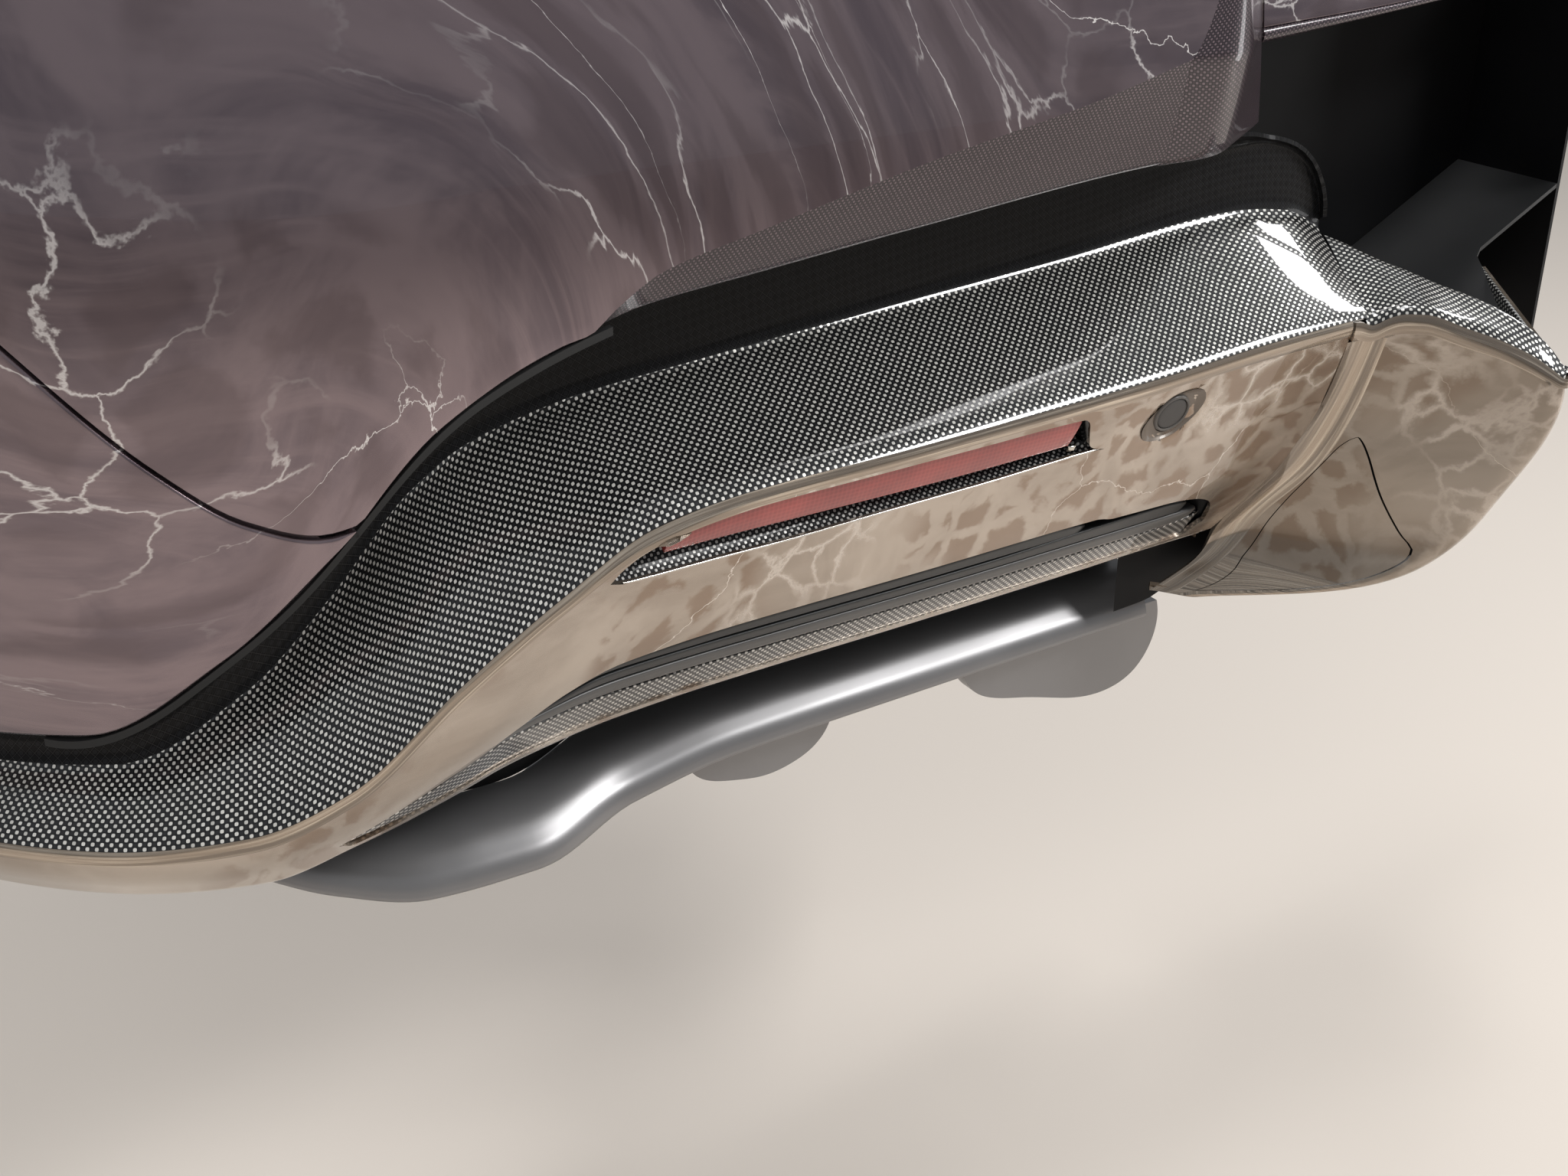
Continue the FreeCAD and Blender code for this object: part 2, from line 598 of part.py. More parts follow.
def make_reflector():
    """Reflector housing behind the slot, and the red lens in its upper half."""
    grown = [(s + (3.0 if s > 150 else -3.0), z + (2.5 if z > -34.0 else -2.5)) for s, z in SLOT]
    back = FOAM_N - FIT
    housing = rear_prism(grown, SKIN, back)
    housing = housing.cut(behind_skin(20.0, 300.0))
    housing = housing.cut(rear_prism(TRAY, n1=back - LINER * 3))
    pocket = []
    lens = []
    for s in (LENS_START_S, LENS_MIDDLE_S, LENS_END_S):
        top = blend(SLOT_TOP, s) - 1.0
        low = blend(LENS_LOW, s)
        front = face_n(s, top) + LENS_RECESS
        sink = face_n(s, low) - face_n(s, top)
        lens.append((s, [(front, top), (front + sink, low), (front + sink + LENS_THICK, low), (front + LENS_THICK, top)]))
        reach = LENS_THICK + FIT
        pocket.append((s, [(front - 20, top + FIT), (front + sink - 20, low - FIT), (front + sink + reach, low - FIT),
                           (front + reach, top + FIT)]))
    keep("reflector_lens", band(lens))
    first = pocket[0][0] - FIT
    last = pocket[2][0] + FIT
    pocket = [(first, pocket[0][1]), pocket[1], (last, pocket[2][1])]
    keep("reflector_housing", housing.cut(band(pocket)))


def make_sensor():
    """Parking sensor: the disc, the ring round it and the body behind the skin."""
    keep("sensor_disc", round_bar(SENSOR_DISC_R, 0.6, -SKIN))
    ring = round_bar(SENSOR_HOLE_R - FIT, 0.9, -SKIN)
    ring = ring.cut(round_bar(SENSOR_DISC_R + FIT, 5.0, -SKIN - 5.0))
    keep("sensor_ring", ring)
    body = round_bar(SENSOR_HOLE_R + 2.0, -SKIN - FIT * 2, -SENSOR_BODY)
    keep("sensor_body", body)


def make_vanes():
    """Two slats, the rolled band and the carbon strip in the vane opening, and their liner."""
    for name, start, end, front_z, drop, recess in VANES:
        sections = []
        for s in stops(start, end):
            z = front_z + (form(s, "mid_z") - form(VANE_REFERENCE_S, "mid_z"))
            n = face_n(s, z) + recess
            low = face_n(s, z - drop) + recess
            sections.append((s, [(n, z), (low, z - drop), (LINER_N - FIT, z - drop + 2.5), (LINER_N - FIT, z + 1.0)]))
        keep(name, band(sections))
    sections = []
    for s in stops(VANES[3][1], VANES[3][2]):
        shift = form(s, "mid_z") - form(VANE_REFERENCE_S, "mid_z")
        path = [(form(s, "mid_n") + SKIN + 3.5, -79.5 + shift), (LINER_N, -79.5 + shift), (LINER_N, -116.0 + shift),
                (LINER_N - 4.0, -116.0 + shift)]
        sections.append((s, thicken(path, LINER, 1)))
    keep("vane_liner", band(sections))
    sections = []
    for s in stops(DIFFUSER[0][0], DIFFUSER[-1][0]):
        lip_n = form(s, "lip_n")
        lip_z = form(s, "lip_z")
        edge_n = blend(DIFFUSER, s)
        edge_z = blend(DIFFUSER, s, 2)
        path = [(lip_n + SKIN - 0.1, lip_z + 0.5), (lip_n + 30.0, lip_z - 6.0), (edge_n + 36.0, edge_z + 25.0 + FIT)]
        sections.append((s, thicken(path, LINER, 1)))
    keep("void_liner", band(sections))


def floor_height(x, y):
    """Height of the underside of the diffuser lip's floor at a place inside its rear edge."""
    s = x - CORNER_X
    run = REAR_REACH + y - blend(DIFFUSER, s)
    return blend(DIFFUSER, s, 2) - DIFFUSER_DROP * run / DIFFUSER_FLOOR


def make_diffuser():
    """Diffuser lip under the void, and the skid tabs below it."""
    sections = []
    for s in stops(DIFFUSER[0][0], DIFFUSER[-1][0]):
        n = blend(DIFFUSER, s)
        z = blend(DIFFUSER, s, 2)
        path = [(n + 36.0, z + 25.0), (n + 14.0, z + 20.0), (n + 2.0, z + 8.0), (n, z),
                (n + DIFFUSER_FLOOR, z - DIFFUSER_DROP)]
        sections.append((s, thicken(path, DIFFUSER_WALL, 1)))
    keep("diffuser_lip", band(sections))
    for name, start, end, belly in TABS:
        top = [(x, floor_height(x, TAB_REAR_Y + TAB_THICK) - FIT) for x in (start, end)]
        line = [V(x, TAB_REAR_Y, z) for x, z in top[:1] + list(belly) + top[1:]]
        curve = Part.BSplineCurve()
        curve.interpolate(Points=line)
        edges = [curve.toShape(), Part.LineSegment(line[-1], line[0]).toShape()]
        keep(name, Part.Face(Part.Wire(edges)).extrude(V(0, TAB_THICK, 0)))


def make_structure():
    """Bolted plate, crush can, beam, absorber and brackets."""
    plate = block(-PLATE_WIDTH / 2, PLATE_WIDTH / 2, -PLATE_THICK, 0, -PLATE_HEIGHT / 2, PLATE_HEIGHT / 2)
    for x in (-BOLT_SPACING_X / 2, BOLT_SPACING_X / 2):
        for z in (-BOLT_SPACING_Z / 2, BOLT_SPACING_Z / 2):
            plate = plate.cut(along_y(x, z, BOLT_HOLE_R, -PLATE_THICK - 1, 1))
    keep("mount_plate", plate)
    can = block(-CAN_WIDTH / 2, CAN_WIDTH / 2, BEAM_FRONT_Y, -PLATE_THICK, CAN_LOW_Z, CAN_LOW_Z + CAN_HEIGHT)
    can = can.cut(block(-CAN_WIDTH / 2 + CAN_WALL, CAN_WIDTH / 2 - CAN_WALL, BEAM_FRONT_Y - 1, -PLATE_THICK + 1,
                        CAN_LOW_Z + CAN_WALL, CAN_LOW_Z + CAN_HEIGHT - CAN_WALL))
    keep("crush_can", can)
    x0 = CORNER_X + BEAM_START_S
    x1 = CORNER_X + BEAM_END_S
    back = BEAM_FRONT_Y - BEAM_DEPTH
    beam = block(x0, x1, back, BEAM_FRONT_Y, BEAM_LOW_Z, BEAM_HIGH_Z)
    beam = beam.cut(block(x0 - 1, x1 + 1, back + BEAM_WALL, BEAM_FRONT_Y - BEAM_WALL, BEAM_LOW_Z + BEAM_WALL,
                          BEAM_HIGH_Z - BEAM_WALL))
    keep("corner_beam", beam)
    for name, x in STAYS:
        floor_z = max(floor_height(x, STAY_Y - STAY_FOOT), floor_height(x + STAY_WIDTH, STAY_Y - STAY_FOOT))
        foot_z = floor_z + DIFFUSER_WALL * 1.02 + FIT
        stay = block(x, x + STAY_WIDTH, STAY_Y - STAY_THICK, STAY_Y, foot_z, BEAM_LOW_Z)
        stay = stay.fuse(block(x, x + STAY_WIDTH, STAY_Y - STAY_FOOT, STAY_Y, foot_z, foot_z + STAY_THICK))
        keep(name, stay.removeSplitter())
    sections = []
    back_n = REAR_REACH + BEAM_FRONT_Y - BEAM_DEPTH - FIT
    for s in stops(BEAM_START_S, BEAM_END_S):
        rise = (form(s, "crease_z") - form(s, "bound_z")) / form(s, "crease_n")
        high = form(s, "bound_z") + rise * FOAM_N - CARBON * math.hypot(1.0, rise) - FIT
        sections.append((s, [(FOAM_N, FOAM_LOW_Z), (FOAM_N, high), (back_n, high), (back_n, FOAM_LOW_Z)]))
    keep("impact_foam", band(sections))
    sections = []
    half = SIDE_BRACKET_HEIGHT / 2
    for s in stops(SIDE_END_S + SIDE_INSET, SIDE_END_S + SIDE_INSET + SIDE_BRACKET_LENGTH):
        levels = (CROWN_Z - half, CROWN_Z, CROWN_Z + half)
        foot = through([(crown(z) + SKIN + FIT, z) for z in levels])
        leg = [(n + BRACKET, z) for n, z in foot[::-1]]
        sections.append((s, foot + leg))
    side = band(sections, (1, 4))
    y = SIDE_FRONT_Y - SIDE_INSET - SIDE_BRACKET_LENGTH / 2
    for z in (CROWN_Z - SIDE_HOLE_SPACING / 2, CROWN_Z + SIDE_HOLE_SPACING / 2):
        side = side.cut(Part.makeCylinder(SIDE_HOLE_R, 60.0, V(CORNER_X - CORNER_RADIUS - 10.0, y, z), V(1, 0, 0)))
    keep("side_bracket", side)
    sections = []
    for s in stops(TOP_BRACKET_START_S, TOP_BRACKET_END_S):
        low = crown(TOP_Z - 20.0) + SKIN + FIT
        high = crown(TOP_Z - 2.0) + SKIN + FIT
        path = [(low, TOP_Z - 20.0), (high, TOP_Z - 2.0), (high + TOP_FLANGE, TOP_Z - 2.0)]
        sections.append((s, thicken(path, BRACKET, -1)))
    flange = band(sections)
    for s in TOP_HOLES_S:
        x, y = plan(s, crown(TOP_Z) + SKIN + TOP_FLANGE / 2 + 2.0)
        flange = flange.cut(Part.makeCylinder(TOP_HOLE_R, 30.0, V(x, y, TOP_Z - 20.0)))
    keep("top_bracket", flange)


def make_opening():
    """Black liner of the centre opening behind the blade, its floor and its fin."""
    start_n = return_end_n(OPENING_HIGH_Z) + CARBON * 1.3 + FIT
    route = [plan(RETURN_END_S, start_n), plan(RETURN_END_S + OPENING_STEP_X, OPENING_BACK_N),
             plan(INBOARD_S + FIT, OPENING_BACK_N), plan(INBOARD_S + FIT, OPENING_SIDE_N)]
    outline = [V(x, y, OPENING_LOW_Z) for x, y in thicken(route, LINER, 1)]
    wall = Part.Face(Part.makePolygon(outline + outline[:1])).extrude(V(0, 0, OPENING_HIGH_Z - OPENING_LOW_Z))
    keep("opening_liner", wall)
    corners = [place(s, n, OPENING_LOW_Z) for s, n in FLOOR_OUTLINE]
    column = Part.Face(Part.makePolygon(corners + corners[:1])).extrude(V(0, 0, OPENING_HIGH_Z - OPENING_LOW_Z))
    keep("opening_floor", column.common(rear_prism(thicken(FLOOR_LINE, LINER, -1))))


def make_seals():
    """Black seal under the diagonal edge of the upper skins."""
    sections = []
    for s in stops(SEAL_START_S, SEAL_END_S):
        z = form(s, "edge_z") - FIT * 2
        n = crown(z) + 0.4
        sections.append((s, [(n, z), (n, z - SEAL_DROP), (n + SEAL_DEPTH, z - SEAL_DROP), (n + SEAL_DEPTH, z)]))
    keep("edge_seal", band(sections))


def main():
    """Build every piece and write it as its own file."""
    os.makedirs("parts", exist_ok=True)
    make_upper_skins()
    make_lip()
    make_channel()
    make_lower_skin()
    make_lobe()
    make_reflector()
    make_sensor()
    make_vanes()
    make_diffuser()
    make_structure()
    make_opening()
    make_seals()
    for name, shape in NODES.items():
        shape.exportStep("parts/" + name + ".step")
        print(name, shape.isValid(), len(shape.Solids), round(shape.Volume / 1000.0, 2))


main()
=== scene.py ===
import logging
import math
from dataclasses import dataclass
from enum import Enum
from typing import Callable, Sequence

import bmesh
import bpy
import numpy as np
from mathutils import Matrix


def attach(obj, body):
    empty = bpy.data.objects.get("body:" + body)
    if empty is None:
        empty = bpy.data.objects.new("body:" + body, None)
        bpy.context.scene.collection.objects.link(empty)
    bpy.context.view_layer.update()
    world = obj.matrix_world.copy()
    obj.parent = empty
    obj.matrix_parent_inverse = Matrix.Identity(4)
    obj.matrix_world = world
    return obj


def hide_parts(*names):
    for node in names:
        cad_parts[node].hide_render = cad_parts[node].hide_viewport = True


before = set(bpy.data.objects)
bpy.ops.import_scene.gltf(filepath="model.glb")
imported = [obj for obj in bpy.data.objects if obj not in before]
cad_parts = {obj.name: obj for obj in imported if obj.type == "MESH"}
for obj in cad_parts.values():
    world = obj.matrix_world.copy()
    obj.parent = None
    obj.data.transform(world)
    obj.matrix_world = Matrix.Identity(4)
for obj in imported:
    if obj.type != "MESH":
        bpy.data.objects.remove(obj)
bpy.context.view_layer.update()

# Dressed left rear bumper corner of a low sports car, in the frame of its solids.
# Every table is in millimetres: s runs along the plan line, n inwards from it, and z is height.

LOG = logging.getLogger("bumper_corner")
MM = 0.001
Array = np.ndarray
Rows = tuple[tuple[float, ...], ...]
Colour = tuple[float, float, float]
Point = tuple[float, float, float]


def table_curve(knots: Sequence[float], values: Sequence[float], at: Array) -> Array:
    """Smooth curve through a table that never overshoots it.

    Between two knots it is the cubic Hermite curve. Its slope at a knot is the harmonic mean of the slopes of
    the two runs beside it, and nought where they point opposite ways.

    Args:
        knots: rising places of the table's rows.
        values: one value for each knot.
        at: places where the curve is wanted.

    Returns:
        The curve's values, in the shape of at.
    """
    place = np.asarray(knots, dtype=float)
    value = np.asarray(values, dtype=float)
    spot = np.clip(np.asarray(at, dtype=float), place[0], place[-1])
    step = np.diff(place)
    rise = np.diff(value) / step
    slope = np.empty(len(place))
    slope[0], slope[-1] = rise[0], rise[-1]
    product = rise[:-1] * rise[1:]
    total = np.where(product > 0.0, rise[:-1] + rise[1:], 1.0)
    slope[1:-1] = np.where(product > 0.0, 2.0 * product / total, 0.0)
    i = np.clip(np.searchsorted(place, spot, side="right") - 1, 0, len(place) - 2)
    t = (spot - place[i]) / step[i]
    return ((1 + 2 * t) * (1 - t) ** 2 * value[i] + t * (1 - t) ** 2 * step[i] * slope[i]
            + t * t * (3 - 2 * t) * value[i + 1] + t * t * (t - 1) * step[i] * slope[i + 1])


def point_table(points: Rows, at: Array) -> Array:
    """The same curve through (place, value) pairs."""
    rows = np.array(points)
    return table_curve(rows[:, 0], rows[:, 1], at)


def spline_rows(knots: Sequence[float], rows: Array, at: Array) -> Array:
    """Natural cubic spline through rows of values.

    The bend at each inner knot solves the usual three-term line, and is nought at both ends. Between two
    knots the value is the straight share plus the cubic share of the two bends.

    Args:
        knots: rising places of the rows.
        rows: knots × values.
        at: places where rows are wanted.

    Returns:
        Places × values.
    """
    place = np.asarray(knots, dtype=float)
    step = np.diff(place)
    count = len(place)
    flat = rows.reshape(count, -1)
    matrix = np.eye(count)
    right = np.zeros_like(flat)
    inner = np.arange(1, count - 1)
    matrix[inner, inner - 1] = step[:-1]
    matrix[inner, inner] = 2.0 * (step[:-1] + step[1:])
    matrix[inner, inner + 1] = step[1:]
    rise = np.diff(flat, axis=0) / step[:, None]
    right[1:-1] = 6.0 * np.diff(rise, axis=0)
    bend = np.linalg.solve(matrix, right)
    i = np.clip(np.searchsorted(place, at, side="right") - 1, 0, count - 2)
    a = ((place[i + 1] - at) / step[i])[:, None]
    b = 1.0 - a
    value = (a * flat[i] + b * flat[i + 1]
             + ((a ** 3 - a) * bend[i] + (b ** 3 - b) * bend[i + 1]) * (step[i] ** 2 / 6.0)[:, None])
    return value.reshape((len(at),) + rows.shape[1:])


def rise_between(value: Array, low: float, high: float) -> Array:
    """Smooth step: 3t² − 2t³, where t is the share of the way from low to high."""
    t = np.clip((value - low) / (high - low), 0.0, 1.0)
    return t * t * (3.0 - 2.0 * t)


def straight(start: Array, end: Array, steps: int) -> Array:
    """Straight runs from start to end, rows × (steps + 1) × coordinates."""
    t = np.linspace(0.0, 1.0, steps + 1)[None, :, None]
    return start[:, None] * (1.0 - t) + end[:, None] * t


def pairs(first: Array | float, last: Array | float) -> Array:
    """Points of two coordinates, such as (n, z)."""
    return np.stack(np.broadcast_arrays(first, last), axis=-1)


def spread(first: Array, last: Array, steps: int) -> Array:
    """Even values from first to last, places × (steps + 1)."""
    t = np.linspace(0.0, 1.0, steps + 1)[None, :]
    return first[:, None] * (1 - t) + last[:, None] * t


def parabola(start: Array, control: Array, end: Array, steps: int) -> Array:
    """Parabolas from start to end that leave and arrive towards the control point."""
    t = np.linspace(0.0, 1.0, steps + 1)[None, :, None]
    return start[:, None] * (1 - t) ** 2 + control[:, None] * (2 * t * (1 - t)) + end[:, None] * t * t


def halves(curve: Array) -> tuple[Array, Array]:
    """Two halves of paths that share their middle point."""
    middle = curve.shape[1] // 2
    return curve[:, :middle + 1], curve[:, middle:]


def joined(parts: Sequence[Array]) -> Array:
    """Paths end to end, with each shared point kept once."""
    return np.concatenate([parts[0]] + [part[:, 1:] for part in parts[1:]], axis=1)


def rounded(corners: Array, reaches: Sequence[float | Array], arc: int,
            runs: Sequence[int]) -> tuple[Array, list[int]]:
    """Paths of straight runs whose corners are parabolas.

    Args:
        corners: paths × corners × coordinates.
        reaches: how far each corner's parabola reaches along its runs, at most 0.48 of a run.
        arc: steps in each parabola, an even number.
        runs: steps in each straight run.

    Returns:
        The paths, and the index of each corner's middle point.
    """
    step = np.diff(corners, axis=1)
    length = np.linalg.norm(step, axis=2)
    unit = step / np.maximum(length, 1e-9)[..., None]
    last = corners.shape[1] - 1
    bends = []
    for k in range(last + 1):
        here = corners[:, k]
        if k in (0, last):
            bends.append(here[:, None])
            continue
        reach = np.minimum(reaches[k], 0.48 * np.minimum(length[:, k - 1], length[:, k]))[:, None]
        bends.append(parabola(here - unit[:, k - 1] * reach, here, here + unit[:, k] * reach, arc))
    parts = [bends[0]]
    middles = [0]
    count = 1
    for k in range(1, last + 1):
        run = straight(bends[k - 1][:, -1], bends[k][:, 0], runs[k - 1])
        parts.append(run[:, 1:-1])
        count += run.shape[1] - 2
        parts.append(bends[k])
        middles.append(count + bends[k].shape[1] // 2)
        count += bends[k].shape[1]
    return np.concatenate(parts, axis=1), middles


def places(start: float, end: float, step: float = 4.0, extra: Sequence[float] = ()) -> Array:
    """Places along the plan line: even steps, with extra ones put in and their near neighbours left out.

    Args:
        start: first place.
        end: last place.
        step: usual step.
        extra: places that have to be there.

    Returns:
        Rising places.
    """
    even = np.linspace(start, end, max(2, round((end - start) / step) + 1))
    more = np.array([spot for spot in extra if start < spot < end])
    if not more.size:
        return even
    clear = np.abs(even[:, None] - more[None, :]).min(axis=1) > 0.35 * step
    clear[[0, -1]] = True
    return np.unique(np.concatenate([even[clear], more]))


@dataclass(frozen=True)
class CornerForm:
    """Form of the corner: its plan line and the heights and depths of its lines along it."""

    reach: float = 255.0
    corner_x: float = -180.0
    radius: float = 254.0
    crown_z: float = 30.0
    top_z: float = 240.0
    tumble: float = 34.0
    start_s: float = -600.0
    paint_start_s: float = 33.0
    paint_end_s: float = 298.0
    columns: tuple[str, ...] = ("s", "edge_n", "edge_z", "crease_n", "crease_z", "wall_z", "bound_z",
                                "mid_n", "mid_z", "lip_n", "lip_z")
    stations: Rows = (
        (-600.0, 6.0, -82.0, 26.0, -104.0, -94.0, -121.0, 3.0, -134.0, 12.0, -147.0),
        (-399.0, 6.0, -82.0, 26.0, -104.0, -94.0, -121.0, 3.0, -134.0, 12.0, -147.0),
        (-260.0, 6.0, -82.0, 26.0, -104.0, -94.0, -121.0, 3.0, -134.0, 12.0, -147.0),
        (-160.0, 5.0, -79.0, 28.0, -101.0, -90.0, -121.5, 3.0, -134.0, 13.0, -148.0),
        (-104.0, 4.0, -47.0, 38.0, -76.0, -60.0, -117.0, 5.0, -131.0, 17.0, -147.0),
        (-67.0, 3.0, -14.0, 46.0, -47.0, -26.0, -103.0, 9.0, -121.0, 26.0, -141.0),
        (-24.0, 2.0, 30.0, 54.0, -12.0, 14.0, -68.0, 14.0, -105.0, 37.0, -135.0),
        (15.0, 3.0, 49.0, 59.0, 3.0, 34.0, -44.0, 20.0, -94.0, 44.0, -130.0),
        (55.0, 7.0, 58.5, 61.0, 10.0, 44.0, -25.5, 24.0, -88.0, 48.0, -127.0),
        (100.0, 12.0, 61.0, 61.0, 14.0, 50.0, -18.5, 25.0, -86.0, 49.0, -125.0),
        (174.0, 16.0, 66.5, 61.0, 20.0, 57.0, -15.5, 25.0, -85.0, 50.0, -124.0),
        (290.0, 18.0, 75.5, 61.0, 29.0, 66.0, -10.0, 26.0, -84.0, 50.0, -121.0),
        (350.0, 18.0, 77.5, 61.0, 35.0, 68.0, -5.5, 26.0, -83.0, 50.0, -119.0),
        (372.0, 18.0, 78.2, 61.0, 36.5, 68.0, -4.3, 26.0, -82.7, 50.0, -118.6),
        (397.0, 18.0, 78.9, 61.0, 32.5, 68.0, -3.2, 26.0, -82.3, 50.0, -118.3),
        (414.0, 18.0, 79.5, 61.0, 21.0, 68.0, -2.5, 26.0, -82.0, 50.0, -118.0),
    )
    shut_line: Rows = (
        (-600.0, 196.0), (-399.0, 186.0), (-260.0, 148.0), (-200.0, 106.0), (-158.0, 66.0),
        (-116.0, 24.5), (-90.0, 5.0), (-66.0, -2.5), (-50.0, 0.5))
    paint_line: Rows = (
        (33.0, 54.9), (44.0, 63.0), (60.0, 71.5), (100.0, 80.5), (174.0, 96.0), (252.0, 109.5),
        (298.0, 120.0))
    end_lean: Rows = ((0.0, 0.0), (3.0, 3.5), (10.0, 8.5), (22.0, 14.6), (50.0, 21.0), (120.0, 24.0))
    face_round: float = 3.0
    valley_s: float = 414.0
    valley_reach: float = 10.5
    end_slant: float = 26.0
    slant_start_s: float = 350.0

    def column(self, name: str, s: Array) -> Array:
        """Curve through a named column of the stations."""
        rows = np.array(self.stations)
        return table_curve(rows[:, 0], rows[:, self.columns.index(name)], s)

    def crown(self, z: Array) -> Array:
        """How far the upper skins lie inside the plan line: a parabola about the crown's height."""
        return self.tumble * ((np.asarray(z) - self.crown_z) / (self.top_z - self.crown_z)) ** 2

    def place(self, s: Array, n: Array, z: Array) -> Array:
        """Points of the frame: a straight run, a quarter circle and a straight run forward, moved n inwards.

        Args:
            s: path length, negative round the corner.
            n: distance inwards.
            z: height.

        Returns:
            Points with x, y and z last.
        """
        s, n, z = np.broadcast_arrays(s, n, z)
        turn = np.clip(-s / self.radius, 0.0, math.pi / 2)
        onward = np.maximum(-s / self.radius - math.pi / 2, 0.0) * self.radius
        x = self.corner_x + np.maximum(s, 0.0) - (self.radius - n) * np.sin(turn)
        y = self.radius - self.reach - (self.radius - n) * np.cos(turn) + onward
        return np.stack([x, y, z], axis=-1)

    def lay(self, s: Array, path: Array) -> Array:
        """Points of paths of (n, z), one path for each place s."""
        return self.place(s[:, None], path[..., 0], path[..., 1])

    def pair(self, s: Array, n_name: str, z_name: str) -> Array:
        """The (n, z) corner that two columns give at each s."""
        return pairs(self.column(n_name, s), self.column(z_name, s))

    def bound(self, s: Array) -> Array:
        """The (n, z) corner between the carbon blade and the painted face."""
        return pairs(0.0, self.column("bound_z", s))

    def panel_n(self, s: Array, z: Array) -> Array:
        """Outer side of the upper skins, and of the bare lip below the paint line.

        Above the line it is the crown. Below it the depth runs straight from the crown to the lip's edge.

        Args:
            s: path length.
            z: height.

        Returns:
            Distance inwards.
        """
        paint = point_table(self.paint_line, s)
        edge_n, edge_z = self.column("edge_n", s), self.column("edge_z", s)
        share = np.clip((paint - z) / (paint - edge_z), 0.0, 1.5)
        below = self.crown(paint) + share * (edge_n - self.crown(paint))
        return np.where((s < self.paint_start_s) | (z >= paint), self.crown(z), below)

    def face_n(self, s: Array, z: Array) -> Array:
        """Depth of the painted lower face at a height.

        It is the greater of two slanting planes, one from the boundary to the middle bend and one from there
        to the lip, with a quadratic fillet of width face_round where they meet.

        Args:
            s: path length.
            z: height.

        Returns:
            Distance inwards.
        """
        mid_n, mid_z = self.column("mid_n", s), self.column("mid_z", s)
        upper = mid_n * (self.column("bound_z", s) - z) / (self.column("bound_z", s) - mid_z)
        fall = (self.column("lip_n", s) - mid_n) / (mid_z - self.column("lip_z", s))
        lower = mid_n + fall * (mid_z - z)
        near = np.maximum(self.face_round - np.abs(upper - lower), 0.0)
        return np.maximum(upper, lower) + near * near / (4.0 * self.face_round)

    def paint_end(self, z: Array) -> Array:
        """Right end of the upper paint: it leans to the right with the height over the paint line."""
        rise = np.asarray(z, dtype=float) - self.paint_line[-1][1]
        return self.paint_end_s + point_table(self.end_lean, rise)

    def slant(self, s: Array) -> Array:
        """How far the crease of the section at s lies inboard of its boundary point."""
        return self.end_slant * np.maximum(s - self.slant_start_s, 0.0) / (self.valley_s - self.slant_start_s)


FORM = CornerForm()


def run_length(points: Array, axis: int) -> Array:
    """Path length along one axis of a grid of points, from nought at its first point.

    Args:
        points: columns × rows × coordinates.
        axis: nought along the car, one down the surface.

    Returns:
        Columns × rows.
    """
    step = np.linalg.norm(np.diff(points, axis=axis), axis=2)
    start = np.zeros_like(np.take(step, [0], axis=axis))
    return np.concatenate([start, np.cumsum(step, axis=axis)], axis=axis)


@dataclass
class Sheet:
    """Grid of points in millimetres: columns along the car, rows down the outside of the surface."""

    points: Array
    finish: int = 0
    kept: Array | None = None
    from_last: bool = False

    def chart(self) -> Array:
        """Map of the sheet: length along the guiding row, and length down each column from that row."""
        guide = -1 if self.from_last else 0
        along = run_length(self.points, 0)[:, [guide]]
        down = run_length(self.points, 1)
        if self.from_last:
            down = down[:, -1:] - down
        return np.stack(np.broadcast_arrays(along, down), axis=-1)

    def faces(self, base: int) -> Array:
        """Corner numbers of the faces that are kept, turned so that they face outwards.

        Args:
            base: number of the sheet's first point in the mesh.

        Returns:
            Faces × 4.
        """
        columns, rows = self.points.shape[:2]
        index = base + np.arange(columns * rows).reshape(columns, rows)
        quads = np.stack([index[:-1, :-1], index[:-1, 1:], index[1:, 1:], index[1:, :-1]], axis=-1)
        if self.kept is None:
            return quads.reshape(-1, 4)
        return quads[self.kept]


